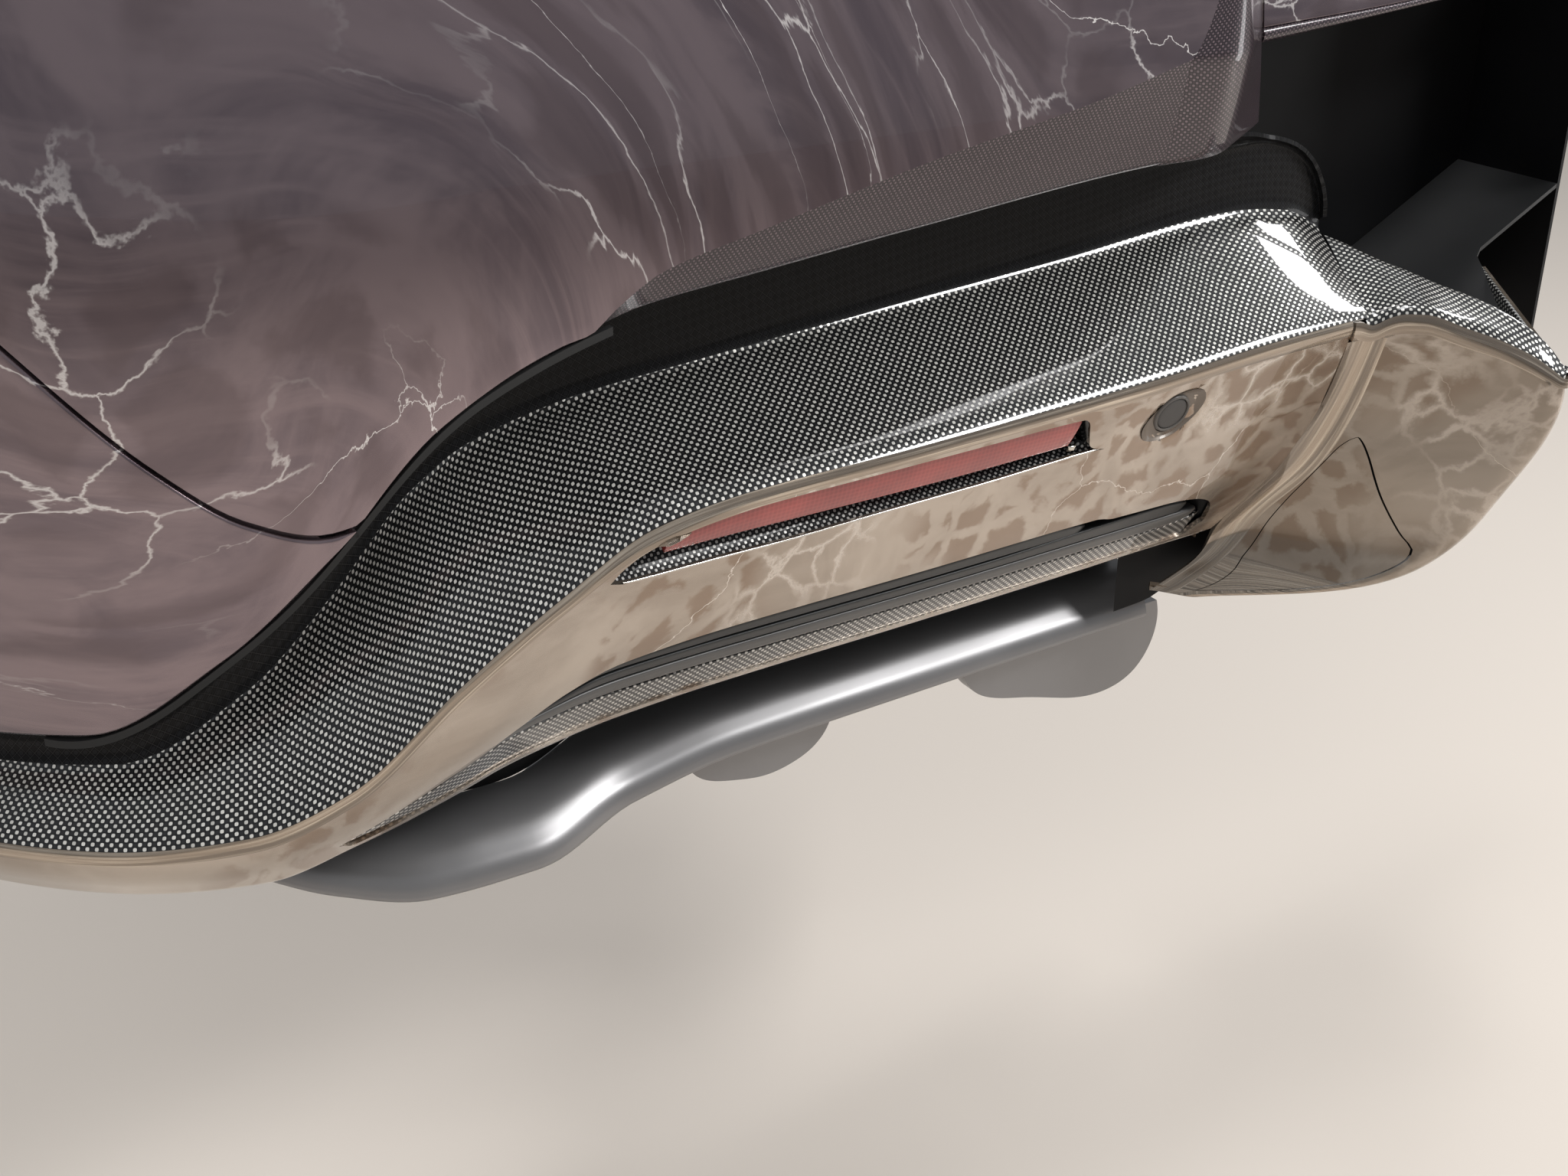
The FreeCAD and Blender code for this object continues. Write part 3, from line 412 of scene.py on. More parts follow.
@dataclass
class Piece:
    """A piece of the dressed model and how its wall and edges are made."""

    name: str
    sheets: list[Sheet]
    finishes: list[bpy.types.Material]
    slot: str
    nodes: tuple[str, ...] = ()
    wall: float = 0.0
    edge: float = 0.0
    sharp: float = 38.0

    def build(self) -> bpy.types.Object:
        """Make the mesh, its map and its modifiers, and hang the piece on the root body, hiding the solids
        that it stands for.
        """
        mesh = bpy.data.meshes.new(self.name)
        faces, marks, base = [], [], 0
        for sheet in self.sheets:
            quads = sheet.faces(base)
            faces.append(quads)
            marks.append(np.full(len(quads), sheet.finish))
            base += sheet.points.shape[0] * sheet.points.shape[1]
        vertices = np.concatenate([sheet.points.reshape(-1, 3) for sheet in self.sheets]) * MM
        charts = np.concatenate([sheet.chart().reshape(-1, 2) for sheet in self.sheets]) * MM
        mesh.from_pydata(vertices.tolist(), [], np.concatenate(faces).tolist())
        mesh.polygons.foreach_set("material_index", np.concatenate(marks).astype(np.int32))
        layer = mesh.uv_layers.new(name="UVMap")
        corner = np.empty(len(mesh.loops), dtype=np.int32)
        mesh.loops.foreach_get("vertex_index", corner)
        layer.data.foreach_set("uv", charts[corner].astype(np.float32).ravel())
        self.close(mesh)
        return settle(bpy.data.objects.new(self.name, mesh), self)

    def close(self, mesh: bpy.types.Mesh) -> None:
        """Merge points that meet, drop faces without area, and mark sharp edges."""
        work = bmesh.new()
        work.from_mesh(mesh)
        bmesh.ops.remove_doubles(work, verts=work.verts, dist=2e-6)
        bmesh.ops.dissolve_degenerate(work, edges=work.edges, dist=1e-7)
        loose = [vert for vert in work.verts if not vert.link_faces]
        bmesh.ops.delete(work, geom=loose, context="VERTS")
        work.to_mesh(mesh)
        work.free()
        mesh.polygons.foreach_set("use_smooth", np.ones(len(mesh.polygons), dtype=bool))
        mesh.set_sharp_from_angle(angle=math.radians(self.sharp))


def settle(thing: bpy.types.Object, piece: Piece) -> bpy.types.Object:
    """Link a piece, give it its finishes, wall and edges, hang it on the root body and hide the solids that
    it stands for.

    Args:
        thing: object that holds the mesh.
        piece: how it is made.

    Returns:
        The same object.
    """
    bpy.context.scene.collection.objects.link(thing)
    for finish in piece.finishes:
        thing.data.materials.append(finish)
    if piece.wall:
        wall = thing.modifiers.new("wall", "SOLIDIFY")
        wall.thickness = piece.wall * MM
        wall.offset = -1.0
        wall.use_even_offset = False
    if piece.edge:
        soften(thing, piece.edge)
    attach(thing, "root")
    if piece.nodes:
        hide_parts(*piece.nodes)
    LOG.info("%s: %d faces", piece.name, len(thing.data.polygons))
    return thing


def soften(thing: bpy.types.Object, width: float) -> None:
    """Round a piece's sharp edges with a bevel of that width in millimetres.

    Args:
        thing: object to soften.
        width: width of the bevel in millimetres.
    """
    bevel = thing.modifiers.new("soft_edges", "BEVEL")
    bevel.width = width * MM
    bevel.segments = 2
    bevel.limit_method = "ANGLE"
    bevel.angle_limit = math.radians(50.0)
    bevel.harden_normals = True


class Graph:
    """Short calls that add nodes to a tree and join them."""

    def __init__(self, tree: bpy.types.NodeTree) -> None:
        """Keep the tree."""
        self.tree = tree

    def feed(self, socket: bpy.types.NodeSocket, value: object) -> None:
        """Join a socket to another one, or set its plain value."""
        if isinstance(value, bpy.types.NodeSocket):
            self.tree.links.new(value, socket)
        else:
            socket.default_value = value

    def node(self, kind: str, values: dict | None = None, **settings: object) -> bpy.types.Node:
        """Add a node with its settings, and feed its inputs by name or number.

        Args:
            kind: type of node without its prefix.
            values: sockets or plain values by input.
            settings: the node's own choices.

        Returns:
            The node.
        """
        made = self.tree.nodes.new("ShaderNode" + kind)
        for key, value in settings.items():
            setattr(made, key, value)
        for key, value in (values or {}).items():
            self.feed(made.inputs[key], value)
        return made

    def maths(self, operation: str, *values: object) -> bpy.types.NodeSocket:
        """One step of arithmetic on numbers."""
        return self.node("Math", dict(enumerate(values)), operation=operation).outputs[0]

    def vectors(self, operation: str, *values: object) -> bpy.types.NodeSocket:
        """One step of arithmetic on vectors."""
        return self.node("VectorMath", dict(enumerate(values)), operation=operation).outputs[0]

    def span(self, value: object, low: float, high: float, first: float = 0.0,
             last: float = 1.0) -> bpy.types.NodeSocket:
        """Smooth change from first to last while the value goes from low to high."""
        values = {"Value": value, "From Min": low, "From Max": high, "To Min": first, "To Max": last}
        return self.node("MapRange", values, interpolation_type="SMOOTHSTEP").outputs[0]

    def blend(self, share: object, first: object, second: object) -> bpy.types.NodeSocket:
        """Colour between two colours."""
        return self.node("Mix", {0: share, 6: first, 7: second}, data_type="RGBA").outputs[2]

    def noise(self, vector: object, scale: object, detail: float, rough: float = 0.5, warp: float = 0.0,
              output: str = "Fac") -> bpy.types.NodeSocket:
        """Noise texture, as a number or as a colour."""
        values = {"Vector": vector, "Scale": scale, "Detail": detail, "Roughness": rough, "Distortion": warp}
        return self.node("TexNoise", values).outputs[output]


class Socket(Enum):
    """Kinds of socket on a group."""

    NUMBER = "NodeSocketFloat"
    VECTOR = "NodeSocketVector"
    COLOUR = "NodeSocketColor"


class Effect:
    """A shader node group that several finishes place with their own values."""

    title: str = ""
    inputs: tuple[tuple[str, Socket], ...] = ()
    outputs: tuple[tuple[str, Socket], ...] = ()

    def wire(self, graph: Graph, given: dict[str, bpy.types.NodeSocket]) -> dict[str, bpy.types.NodeSocket]:
        """Join the group's nodes and name what it puts out."""
        raise NotImplementedError

    def group(self) -> bpy.types.NodeTree:
        """The group's tree, made the first time that it is asked for."""
        known = bpy.data.node_groups.get(self.title)
        if known:
            return known
        tree = bpy.data.node_groups.new(self.title, "ShaderNodeTree")
        for name, kind in self.inputs:
            tree.interface.new_socket(name=name, in_out="INPUT", socket_type=kind.value)
        for name, kind in self.outputs:
            tree.interface.new_socket(name=name, in_out="OUTPUT", socket_type=kind.value)
        entry = tree.nodes.new("NodeGroupInput")
        leave = tree.nodes.new("NodeGroupOutput")
        given = {name: entry.outputs[name] for name, kind in self.inputs}
        for name, socket in self.wire(Graph(tree), given).items():
            tree.links.new(socket, leave.inputs[name])
        return tree

    def put(self, graph: Graph, **values: object) -> bpy.types.Node:
        """Place the group in a material with its values."""
        made = graph.tree.nodes.new("ShaderNodeGroup")
        made.node_tree = self.group()
        for name, value in values.items():
            graph.feed(made.inputs[name.replace("_", " ").capitalize()], value)
        return made


class StoneFigure(Effect):
    """Marble-like figure, partly the paint's own and partly painted reflection of the paving: swirling
    clouds, rounded patches and thin jagged veins; sizes are in metres.
    """

    swirl_centre = (-0.27, -0.19, 0.10)
    swirl_reach = 0.34
    drift = (0.10, 0.10, 0.07)
    jag = (0.022, 0.022, 0.022)
    streak_scale = (7.0, 7.0, 90.0)
    vein_scale = 6.5

    title = "stone_figure"
    inputs = (("Vector", Socket.VECTOR), ("Ground", Socket.COLOUR), ("Cloud", Socket.COLOUR),
              ("Patch", Socket.COLOUR), ("Vein", Socket.COLOUR), ("Patches", Socket.NUMBER),
              ("Cells", Socket.NUMBER), ("Web", Socket.NUMBER), ("Swirl", Socket.NUMBER),
              ("Streaks", Socket.NUMBER))
    outputs = (("Color", Socket.COLOUR), ("Vein mask", Socket.NUMBER))

    def wire(self, graph: Graph, given: dict[str, bpy.types.NodeSocket]) -> dict[str, bpy.types.NodeSocket]:
        """Warp the place by noise, then take clouds, cell patches and cell edges from the warped place."""
        away = graph.node("VectorMath", {0: given["Vector"], 1: self.swirl_centre}, operation="DISTANCE")
        share = graph.span(away.outputs["Value"], 0.0, self.swirl_reach, 1.0, 0.0)
        turned = graph.node("VectorRotate", {"Vector": given["Vector"], "Center": self.swirl_centre,
                                             "Angle": graph.maths("MULTIPLY", share, given["Swirl"])},
                            rotation_type="Y_AXIS").outputs[0]
        slow = graph.noise(given["Vector"], scale=5.0, detail=3.0, output="Color")
        place = self.shaken(graph, turned, slow, self.drift)
        quick = graph.noise(place, scale=42.0, detail=5.0, rough=0.6, output="Color")
        rough_place = self.shaken(graph, place, quick, self.jag)
        cloud = graph.noise(place, scale=11.0, detail=7.0, rough=0.62, warp=0.9)
        streaked = graph.vectors("MULTIPLY", place, self.streak_scale)
        streak = graph.noise(streaked, scale=1.0, detail=6.0, rough=0.62)
        colour = graph.blend(graph.span(cloud, 0.36, 0.66), given["Ground"], given["Cloud"])
        lines = graph.maths("MULTIPLY", graph.span(streak, 0.44, 0.70), given["Streaks"])
        colour = graph.blend(lines, colour, given["Cloud"])
        cells = self.cells(graph, rough_place, given["Cells"])
        chosen = graph.span(graph.noise(place, scale=9.0, detail=2.0), 0.40, 0.52)
        patch = graph.maths("MULTIPLY", graph.span(cells, 0.07, 0.20), chosen)
        colour = graph.blend(graph.maths("MULTIPLY", patch, given["Patches"]), colour, given["Patch"])
        wide = graph.span(self.cells(graph, rough_place, self.vein_scale), 0.0003, 0.0022, 1.0, 0.0)
        vein = graph.maths("MULTIPLY", wide,
                           graph.span(graph.noise(place, scale=4.0, detail=2.0), 0.46, 0.58))
        fine = graph.maths("MULTIPLY", graph.span(cells, 0.002, given["Web"], 0.7, 0.0),
                           graph.span(graph.noise(rough_place, scale=7.0, detail=3.0), 0.46, 0.60))
        both = graph.maths("MAXIMUM", vein, fine)
        return {"Color": graph.blend(both, colour, given["Vein"]), "Vein mask": both}

    def shaken(self, graph: Graph, place: object, noise: object, size: Point) -> bpy.types.NodeSocket:
        """The place moved by a noise, at most half the size each way."""
        offset = graph.vectors("SUBTRACT", noise, (0.5, 0.5, 0.5))
        return graph.vectors("ADD", place, graph.vectors("MULTIPLY", offset, size))

    def cells(self, graph: Graph, place: object, scale: object) -> bpy.types.NodeSocket:
        """Distance to the nearest edge between cells."""
        values = {"Vector": place, "Scale": scale}
        return graph.node("TexVoronoi", values, feature="DISTANCE_TO_EDGE").outputs["Distance"]


class PlainWeave(Effect):
    """Plain weave of flat tows: every other crossing catches the light."""

    title = "plain_weave"
    inputs = (("Vector", Socket.VECTOR), ("Cell", Socket.NUMBER), ("Turn", Socket.NUMBER))
    outputs = tuple((name, Socket.NUMBER) for name in ("Dots", "Lines", "Tows", "Height"))

    def wire(self, graph: Graph, given: dict[str, bpy.types.NodeSocket]) -> dict[str, bpy.types.NodeSocket]:
        """Crossings are the sign of sine times sine, and each tow's crown is the size of that product."""
        frequency = graph.maths("DIVIDE", math.pi, given["Cell"])
        turned = graph.node("VectorRotate", {"Vector": given["Vector"], "Angle": given["Turn"]},
                            rotation_type="Z_AXIS").outputs[0]
        parts = graph.node("SeparateXYZ", {0: turned})
        waves = [graph.maths("SINE", graph.maths("MULTIPLY", parts.outputs[k], frequency)) for k in (0, 1)]
        product = graph.maths("MULTIPLY", *waves)
        cell = graph.vectors("FLOOR", graph.vectors("DIVIDE", turned, graph.node(
            "CombineXYZ", {0: given["Cell"], 1: given["Cell"], 2: 1.0}).outputs[0]))
        chance = graph.node("TexWhiteNoise", {"Vector": cell}).outputs["Value"]
        shade = graph.maths("ADD", graph.maths("MULTIPLY", chance, 0.35), 0.65)
        nearest = graph.maths("MINIMUM", *(graph.maths("ABSOLUTE", wave) for wave in waves))
        return {"Dots": graph.maths("MULTIPLY", graph.span(product, 0.16, 0.5), shade),
                "Lines": graph.maths("MULTIPLY", graph.span(nearest, 0.06, 0.26, 1.0, 0.0), shade),
                "Tows": graph.span(product, -0.16, -0.7),
                "Height": graph.maths("ABSOLUTE", product)}


class FineGrain(Effect):
    """Fine moulded grain with slow unevenness."""

    title = "fine_grain"
    inputs = (("Vector", Socket.VECTOR), ("Scale", Socket.NUMBER))
    outputs = (("Height", Socket.NUMBER), ("Haze", Socket.NUMBER))

    def wire(self, graph: Graph, given: dict[str, bpy.types.NodeSocket]) -> dict[str, bpy.types.NodeSocket]:
        """Small cells and noise make the height; large noise makes the haze."""
        pits = graph.node("TexVoronoi", {"Vector": given["Vector"], "Scale": given["Scale"]},
                          feature="SMOOTH_F1").outputs["Distance"]
        fine = graph.noise(given["Vector"], scale=given["Scale"], detail=4.0, rough=0.6)
        haze = graph.noise(given["Vector"], scale=14.0, detail=4.0, rough=0.55)
        return {"Height": graph.maths("ADD", pits, graph.maths("MULTIPLY", fine, 0.6)),
                "Haze": graph.span(haze, 0.3, 0.7)}


def full(colour: Colour) -> tuple[float, float, float, float]:
    """Colour with an opaque fourth value."""
    return (*colour, 1.0)


class Finish:
    """A finish that makes one material."""

    name: str

    def start(self) -> tuple[bpy.types.Material, Graph, bpy.types.Node, bpy.types.Node]:
        """New material with its graph, its principled shader and its texture coordinates."""
        material = bpy.data.materials.new(self.name)
        material.use_nodes = True
        graph = Graph(material.node_tree)
        shader = next(node for node in material.node_tree.nodes if node.type == "BSDF_PRINCIPLED")
        return material, graph, shader, graph.node("TexCoord")

    def dress(self, graph: Graph, shader: bpy.types.Node, values: dict[str, object]) -> None:
        """Feed the shader's inputs by name."""
        for name, value in values.items():
            graph.feed(shader.inputs[name], value)

    def bump(self, graph: Graph, shader: bpy.types.Node, height: object, depth: float,
             strength: float) -> None:
        """Raise the surface by a height field whose full depth is given in millimetres."""
        made = graph.node("Bump", {"Height": height, "Distance": depth * MM, "Strength": strength})
        graph.tree.links.new(made.outputs["Normal"], shader.inputs["Normal"])


@dataclass(frozen=True)
class StonePaint(Finish):
    """Stone-figured metallic paint under a deep clear coat; its lighter copies carry painted reflection of
    the ground.
    """

    name: str
    ground: Colour
    cloud: Colour
    patch: Colour
    vein: Colour = (0.80, 0.76, 0.74)
    patches: float = 1.0
    cells: float = 19.0
    web: float = 0.02
    swirl: float = 0.0
    streaks: float = 0.55
    metallic: float = 0.85
    vein_metallic: float = 0.35
    roughness: float = 0.2
    shift: Point = (0.0, 0.0, 0.0)

    def material(self) -> bpy.types.Material:
        """Figure in the base colour; the veins are less metallic than the ground."""
        material, graph, shader, coords = self.start()
        place = graph.node("Mapping", {"Vector": coords.outputs["Object"],
                                       "Location": self.shift}).outputs[0]
        figure = StoneFigure().put(graph, vector=place, ground=full(self.ground), cloud=full(self.cloud),
                                   patch=full(self.patch), vein=full(self.vein), patches=self.patches,
                                   cells=self.cells, web=self.web, swirl=self.swirl, streaks=self.streaks)
        metal = graph.span(figure.outputs["Vein mask"], 0.0, 1.0, self.metallic, self.vein_metallic)
        self.dress(graph, shader, {"Base Color": figure.outputs["Color"], "Metallic": metal,
                                   "Roughness": self.roughness, "Coat Weight": 1.0, "Coat Roughness": 0.02})
        return material


@dataclass(frozen=True)
class ReflectionStreakPaint(Finish):
    """The same paint on a tight curve, with painted reflection of the ground stretched into streaks."""

    name: str
    stretch: Point
    dark: Colour = (0.20, 0.16, 0.125)
    middle: Colour = (0.40, 0.32, 0.245)
    light: Colour = (0.72, 0.62, 0.50)

    def material(self) -> bpy.types.Material:
        """Two noises stretched along the curve choose between three tones."""
        material, graph, shader, coords = self.start()
        place = graph.vectors("MULTIPLY", coords.outputs["UV"], self.stretch)
        broad = graph.noise(place, scale=0.35, detail=3.0, rough=0.5)
        fine = graph.noise(place, scale=1.0, detail=5.0, rough=0.65)
        colour = graph.blend(graph.span(broad, 0.38, 0.6), full(self.dark), full(self.middle))
        colour = graph.blend(graph.span(fine, 0.46, 0.68, 0.0, 0.8), colour, full(self.light))
        self.dress(graph, shader, {"Base Color": colour, "Metallic": 0.7, "Roughness": 0.12,
                                   "Coat Weight": 1.0, "Coat Roughness": 0.02})
        return material


@dataclass(frozen=True)
class WovenCarbon(Finish):
    """Plain-weave carbon under a clear coat."""

    name: str
    light: Colour = (0.90, 0.88, 0.83)
    dark: Colour = (0.003, 0.003, 0.0035)
    tow: Colour = (0.014, 0.014, 0.015)
    cell: float = 1.75
    turn: float = 0.0
    metallic: float = 0.45
    lattice: float = 0.0
    coat: float = 1.0
    specular: float = 0.2

    def material(self) -> bpy.types.Material:
        """Lit crossings in the base colour and in the metallic share, over a shallow bump."""
        material, graph, shader, coords = self.start()
        weave = PlainWeave().put(graph, vector=coords.outputs["UV"], cell=self.cell * MM,
                                 turn=math.radians(self.turn))
        colour = graph.blend(weave.outputs["Tows"], full(self.dark), full(self.tow))
        lit = weave.outputs["Dots"]
        if self.lattice:
            lit = graph.maths("MAXIMUM", graph.maths("MULTIPLY", lit, 1.0 - self.lattice),
                              graph.maths("MULTIPLY", weave.outputs["Lines"], self.lattice))
        colour = graph.blend(lit, colour, full(self.light))
        metal = graph.maths("MULTIPLY", lit, self.metallic)
        self.dress(graph, shader, {"Base Color": colour, "Metallic": metal, "Roughness": 0.36,
                                   "Specular IOR Level": self.specular, "Coat Weight": self.coat,
                                   "Coat Roughness": 0.03})
        self.bump(graph, shader, weave.outputs["Height"], 0.05, 0.5)
        return material


@dataclass(frozen=True)
class Satin(Finish):
    """Satin coat or moulded plastic with a fine grain and a slight haze."""

    name: str
    colour: Colour
    haze: Colour
    roughness: float = 0.42
    metallic: float = 0.0
    scale: float = 2600.0
    depth: float = 0.02
    coat: float = 0.0
    specular: float = 0.5

    def material(self) -> bpy.types.Material:
        """Haze in the colour and roughness, and grain in the bump."""
        material, graph, shader, coords = self.start()
        grain = FineGrain().put(graph, vector=coords.outputs["Object"], scale=self.scale)
        haze = grain.outputs["Haze"]
        self.dress(graph, shader, {
            "Base Color": graph.blend(haze, full(self.colour), full(self.haze)),
            "Roughness": graph.span(haze, 0.0, 1.0, self.roughness * 0.92, self.roughness * 1.1),
            "Metallic": self.metallic, "Coat Weight": self.coat, "Specular IOR Level": self.specular})
        self.bump(graph, shader, grain.outputs["Height"], self.depth, 0.35)
        return material


@dataclass(frozen=True)
class RedLens(Finish):
    """Red reflector moulding with fine prisms behind a polished face."""

    name: str = "red_lens"
    deep: Colour = (0.22, 0.014, 0.013)
    bright: Colour = (0.46, 0.06, 0.05)

    def material(self) -> bpy.types.Material:
        """Prism cells lighten the red in a fine net under a clear coat."""
        material, graph, shader, coords = self.start()
        place = coords.outputs["UV"]
        cells = graph.node("TexVoronoi", {"Vector": place, "Scale": 480.0, "Randomness": 0.0},
                           feature="F1").outputs["Distance"]
        cloud = graph.noise(place, scale=30.0, detail=3.0)
        share = graph.maths("ADD", graph.span(cells, 0.1, 0.7, 0.0, 0.45),
                            graph.span(cloud, 0.35, 0.7, 0.0, 0.5))
        self.dress(graph, shader, {"Base Color": graph.blend(share, full(self.deep), full(self.bright)),
                                   "Roughness": 0.18, "Coat Weight": 1.0, "Coat Roughness": 0.02})
        self.bump(graph, shader, cells, 0.06, 0.4)
        return material


@dataclass(frozen=True)
class MillMetal(Finish):
    """Drawn or bright metal with fine lines along it."""

    name: str
    colour: Colour = (0.62, 0.63, 0.65)
    roughness: float = 0.34
    stretch: Point = (40.0, 900.0, 900.0)

    def material(self) -> bpy.types.Material:
        """Stretched noise varies the roughness and the height."""
        material, graph, shader, coords = self.start()
        place = graph.vectors("MULTIPLY", coords.outputs["Object"], self.stretch)
        lines = graph.noise(place, scale=1.0, detail=4.0, rough=0.6)
        rough = graph.span(lines, 0.3, 0.7, self.roughness * 0.8, self.roughness * 1.25)
        self.dress(graph, shader, {"Base Color": full(self.colour), "Metallic": 1.0, "Roughness": rough})
        self.bump(graph, shader, lines, 0.01, 0.3)
        return material


@dataclass(frozen=True)
class BeadFoam(Finish):
    """Moulded bead foam."""

    name: str = "bead_foam"
    colour: Colour = (0.045, 0.045, 0.047)
    seam: Colour = (0.02, 0.02, 0.02)

    def material(self) -> bpy.types.Material:
        """Beads are cells about 4 mm wide, darker and lower at their seams."""
        material, graph, shader, coords = self.start()
        beads = graph.node("TexVoronoi", {"Vector": coords.outputs["Object"], "Scale": 240.0},
                           feature="DISTANCE_TO_EDGE").outputs["Distance"]
        swell = graph.span(beads, 0.0, 0.22)
        self.dress(graph, shader, {"Base Color": graph.blend(swell, full(self.seam), full(self.colour)),
                                   "Roughness": 0.8})
        self.bump(graph, shader, swell, 0.5, 0.6)
        return material


class Finishes:
    """Every finish of the corner, made once."""

    def __init__(self) -> None:
        """Make the materials."""
        figure = {"cells": 50.0, "patches": 0.75, "streaks": 0.35, "roughness": 0.27,
                  "shift": (0.31, 0.12, 0.27)}
        self.upper = StonePaint(
            "stone_paint_upper", ground=(0.150, 0.112, 0.130), cloud=(0.27, 0.205, 0.22),
            patch=(0.12, 0.082, 0.090), patches=0.5, swirl=3.6, streaks=0.9).material()
        # The lower and lobe copies are lighter and beige as painted reflection of the pale ground, the lobe's
        # between the upper and the lower in tone; their brown patches and light web are partly the marble
        # figure and partly painted reflection of the paving.
        self.lower = StonePaint(
            "stone_paint_lower_ground_reflection", ground=(0.38, 0.315, 0.255), cloud=(0.55, 0.475, 0.40),
            patch=(0.255, 0.165, 0.105), vein=(0.74, 0.66, 0.58), web=0.10, **figure).material()
        self.lobe = StonePaint(
            "stone_paint_lobe_ground_reflection", ground=(0.23, 0.182, 0.138), cloud=(0.335, 0.278, 0.222),
            patch=(0.165, 0.105, 0.062), vein=(0.58, 0.50, 0.425), web=0.12, metallic=0.6,
            **figure).material()
        # Streaks on tight curves and in the valley are painted reflection of the ground, stretched along the
        # curve.
        self.valley = ReflectionStreakPaint("valley_reflection_streaks", (420.0, 8.0, 1.0)).material()
        self.streaked = ReflectionStreakPaint("roll_reflection_streaks", (8.0, 560.0, 1.0)).material()
        # Copies of one woven carbon: the lit crossings are painted sheen, bright on the blade and the strip,
        # dimmer on the tray in the slot, and nearly black on the wall in the channel's shade.
        self.blade = WovenCarbon("carbon_blade", light=(0.84, 0.82, 0.77)).material()
        self.wall = WovenCarbon(
            "carbon_wall", light=(0.036, 0.035, 0.034), turn=42.0, metallic=0.1, lattice=0.8, cell=2.6,
            coat=0.15, specular=0.05).material()
        self.lip = WovenCarbon(
            "carbon_tinted", light=(0.17, 0.125, 0.14), dark=(0.010, 0.006, 0.009), tow=(0.03, 0.019, 0.025),
            cell=1.15, turn=8.0, coat=0.6).material()
        self.strip = WovenCarbon("carbon_strip", light=(0.72, 0.70, 0.66), cell=1.7).material()
        self.tray = WovenCarbon(
            "carbon_tray", light=(0.50, 0.49, 0.47), cell=1.5, coat=0.1, specular=0.1).material()
        self.vane = Satin("vane_satin", (0.020, 0.021, 0.022), (0.026, 0.027, 0.028), 0.38).material()
        self.band = Satin(
            "band_satin", (0.095, 0.093, 0.092), (0.11, 0.108, 0.106), 0.34, 0.35).material()
        self.gunmetal = Satin(
            "gunmetal_satin", (0.235, 0.230, 0.232), (0.26, 0.255, 0.257), 0.34, 0.6, scale=3600.0,
            depth=0.008).material()
        self.black = Satin(
            "black_grain", (0.008, 0.008, 0.0085), (0.012, 0.012, 0.0125), 0.55, scale=1500.0,
            depth=0.04).material()
        self.gloss_black = Satin(
            "gloss_black", (0.004, 0.004, 0.0045), (0.006, 0.006, 0.0065), 0.16, depth=0.004,
            coat=0.6).material()
        # Near black with little specular: black plastic darkened into painted shade for the insides of the
        # openings, and the colour of the shade sheets.
        self.deep = Satin(
            "deep_black_painted_shade", (0.003, 0.003, 0.0035), (0.004, 0.004, 0.0045), 0.5, specular=0.15).material()
        # Darker brown over the sensor's recess: painted shade.
        self.recess = Satin(
            "recess_painted_shade", (0.15, 0.12, 0.095), (0.19, 0.155, 0.125), 0.38, 0.25, coat=0.25).material()
        self.sensor = Satin("sensor_satin", (0.052, 0.049, 0.047), (0.06, 0.056, 0.054), 0.4).material()
        self.ring = Satin("ring_satin", (0.10, 0.092, 0.085), (0.12, 0.11, 0.10), 0.32).material()
        self.rubber = Satin(
            "seal_rubber", (0.012, 0.012, 0.012), (0.018, 0.018, 0.018), 0.7, scale=1800.0,
            depth=0.05).material()
        self.red = RedLens().material()
        self.metal = MillMetal("mill_aluminium").material()
        # Bright metal for the clip, and for the bead that stands as painted highlight along the tray's
        # polished edge.
        self.bright = MillMetal("bright_bead", (0.66, 0.63, 0.58), 0.2).material()
        self.foam = BeadFoam().material()


def hemmed(depth: Callable[[Array], Array], high: Array, low: Array,
           roll_high: Array | float, roll_low: Array | float, hem: Array | float, steps: int) -> Array:
    """Wall between two heights whose edges roll inwards into a hem.

    Each roll is a parabola from the hem to the wall, with the wall's own edge as its control point.

    Args:
        depth: function that gives the wall's n at a height.
        high: upper height of each path.
        low: lower height of each path.
        roll_high: reach of the upper roll.
        roll_low: reach of the lower roll.
        hem: length of the hems inwards.
        steps: steps of the wall between the rolls.

    Returns:
        Paths of (n, z).
    """
    z = spread(high - roll_high, low + roll_low, steps)
    wall = pairs(depth(z), z)
    ends = []
    for edge, roll, end in ((high, roll_high, wall[:, 0]), (low, roll_low, wall[:, -1])):
        corner = pairs(depth(edge), edge)
        inner = corner + pairs(roll, 0.0)
        ends.append(joined([straight(corner + pairs(hem, 0.0), inner, 2), parabola(inner, corner, end, 6)]))
    return joined([ends[0], wall, ends[1][:, ::-1]])


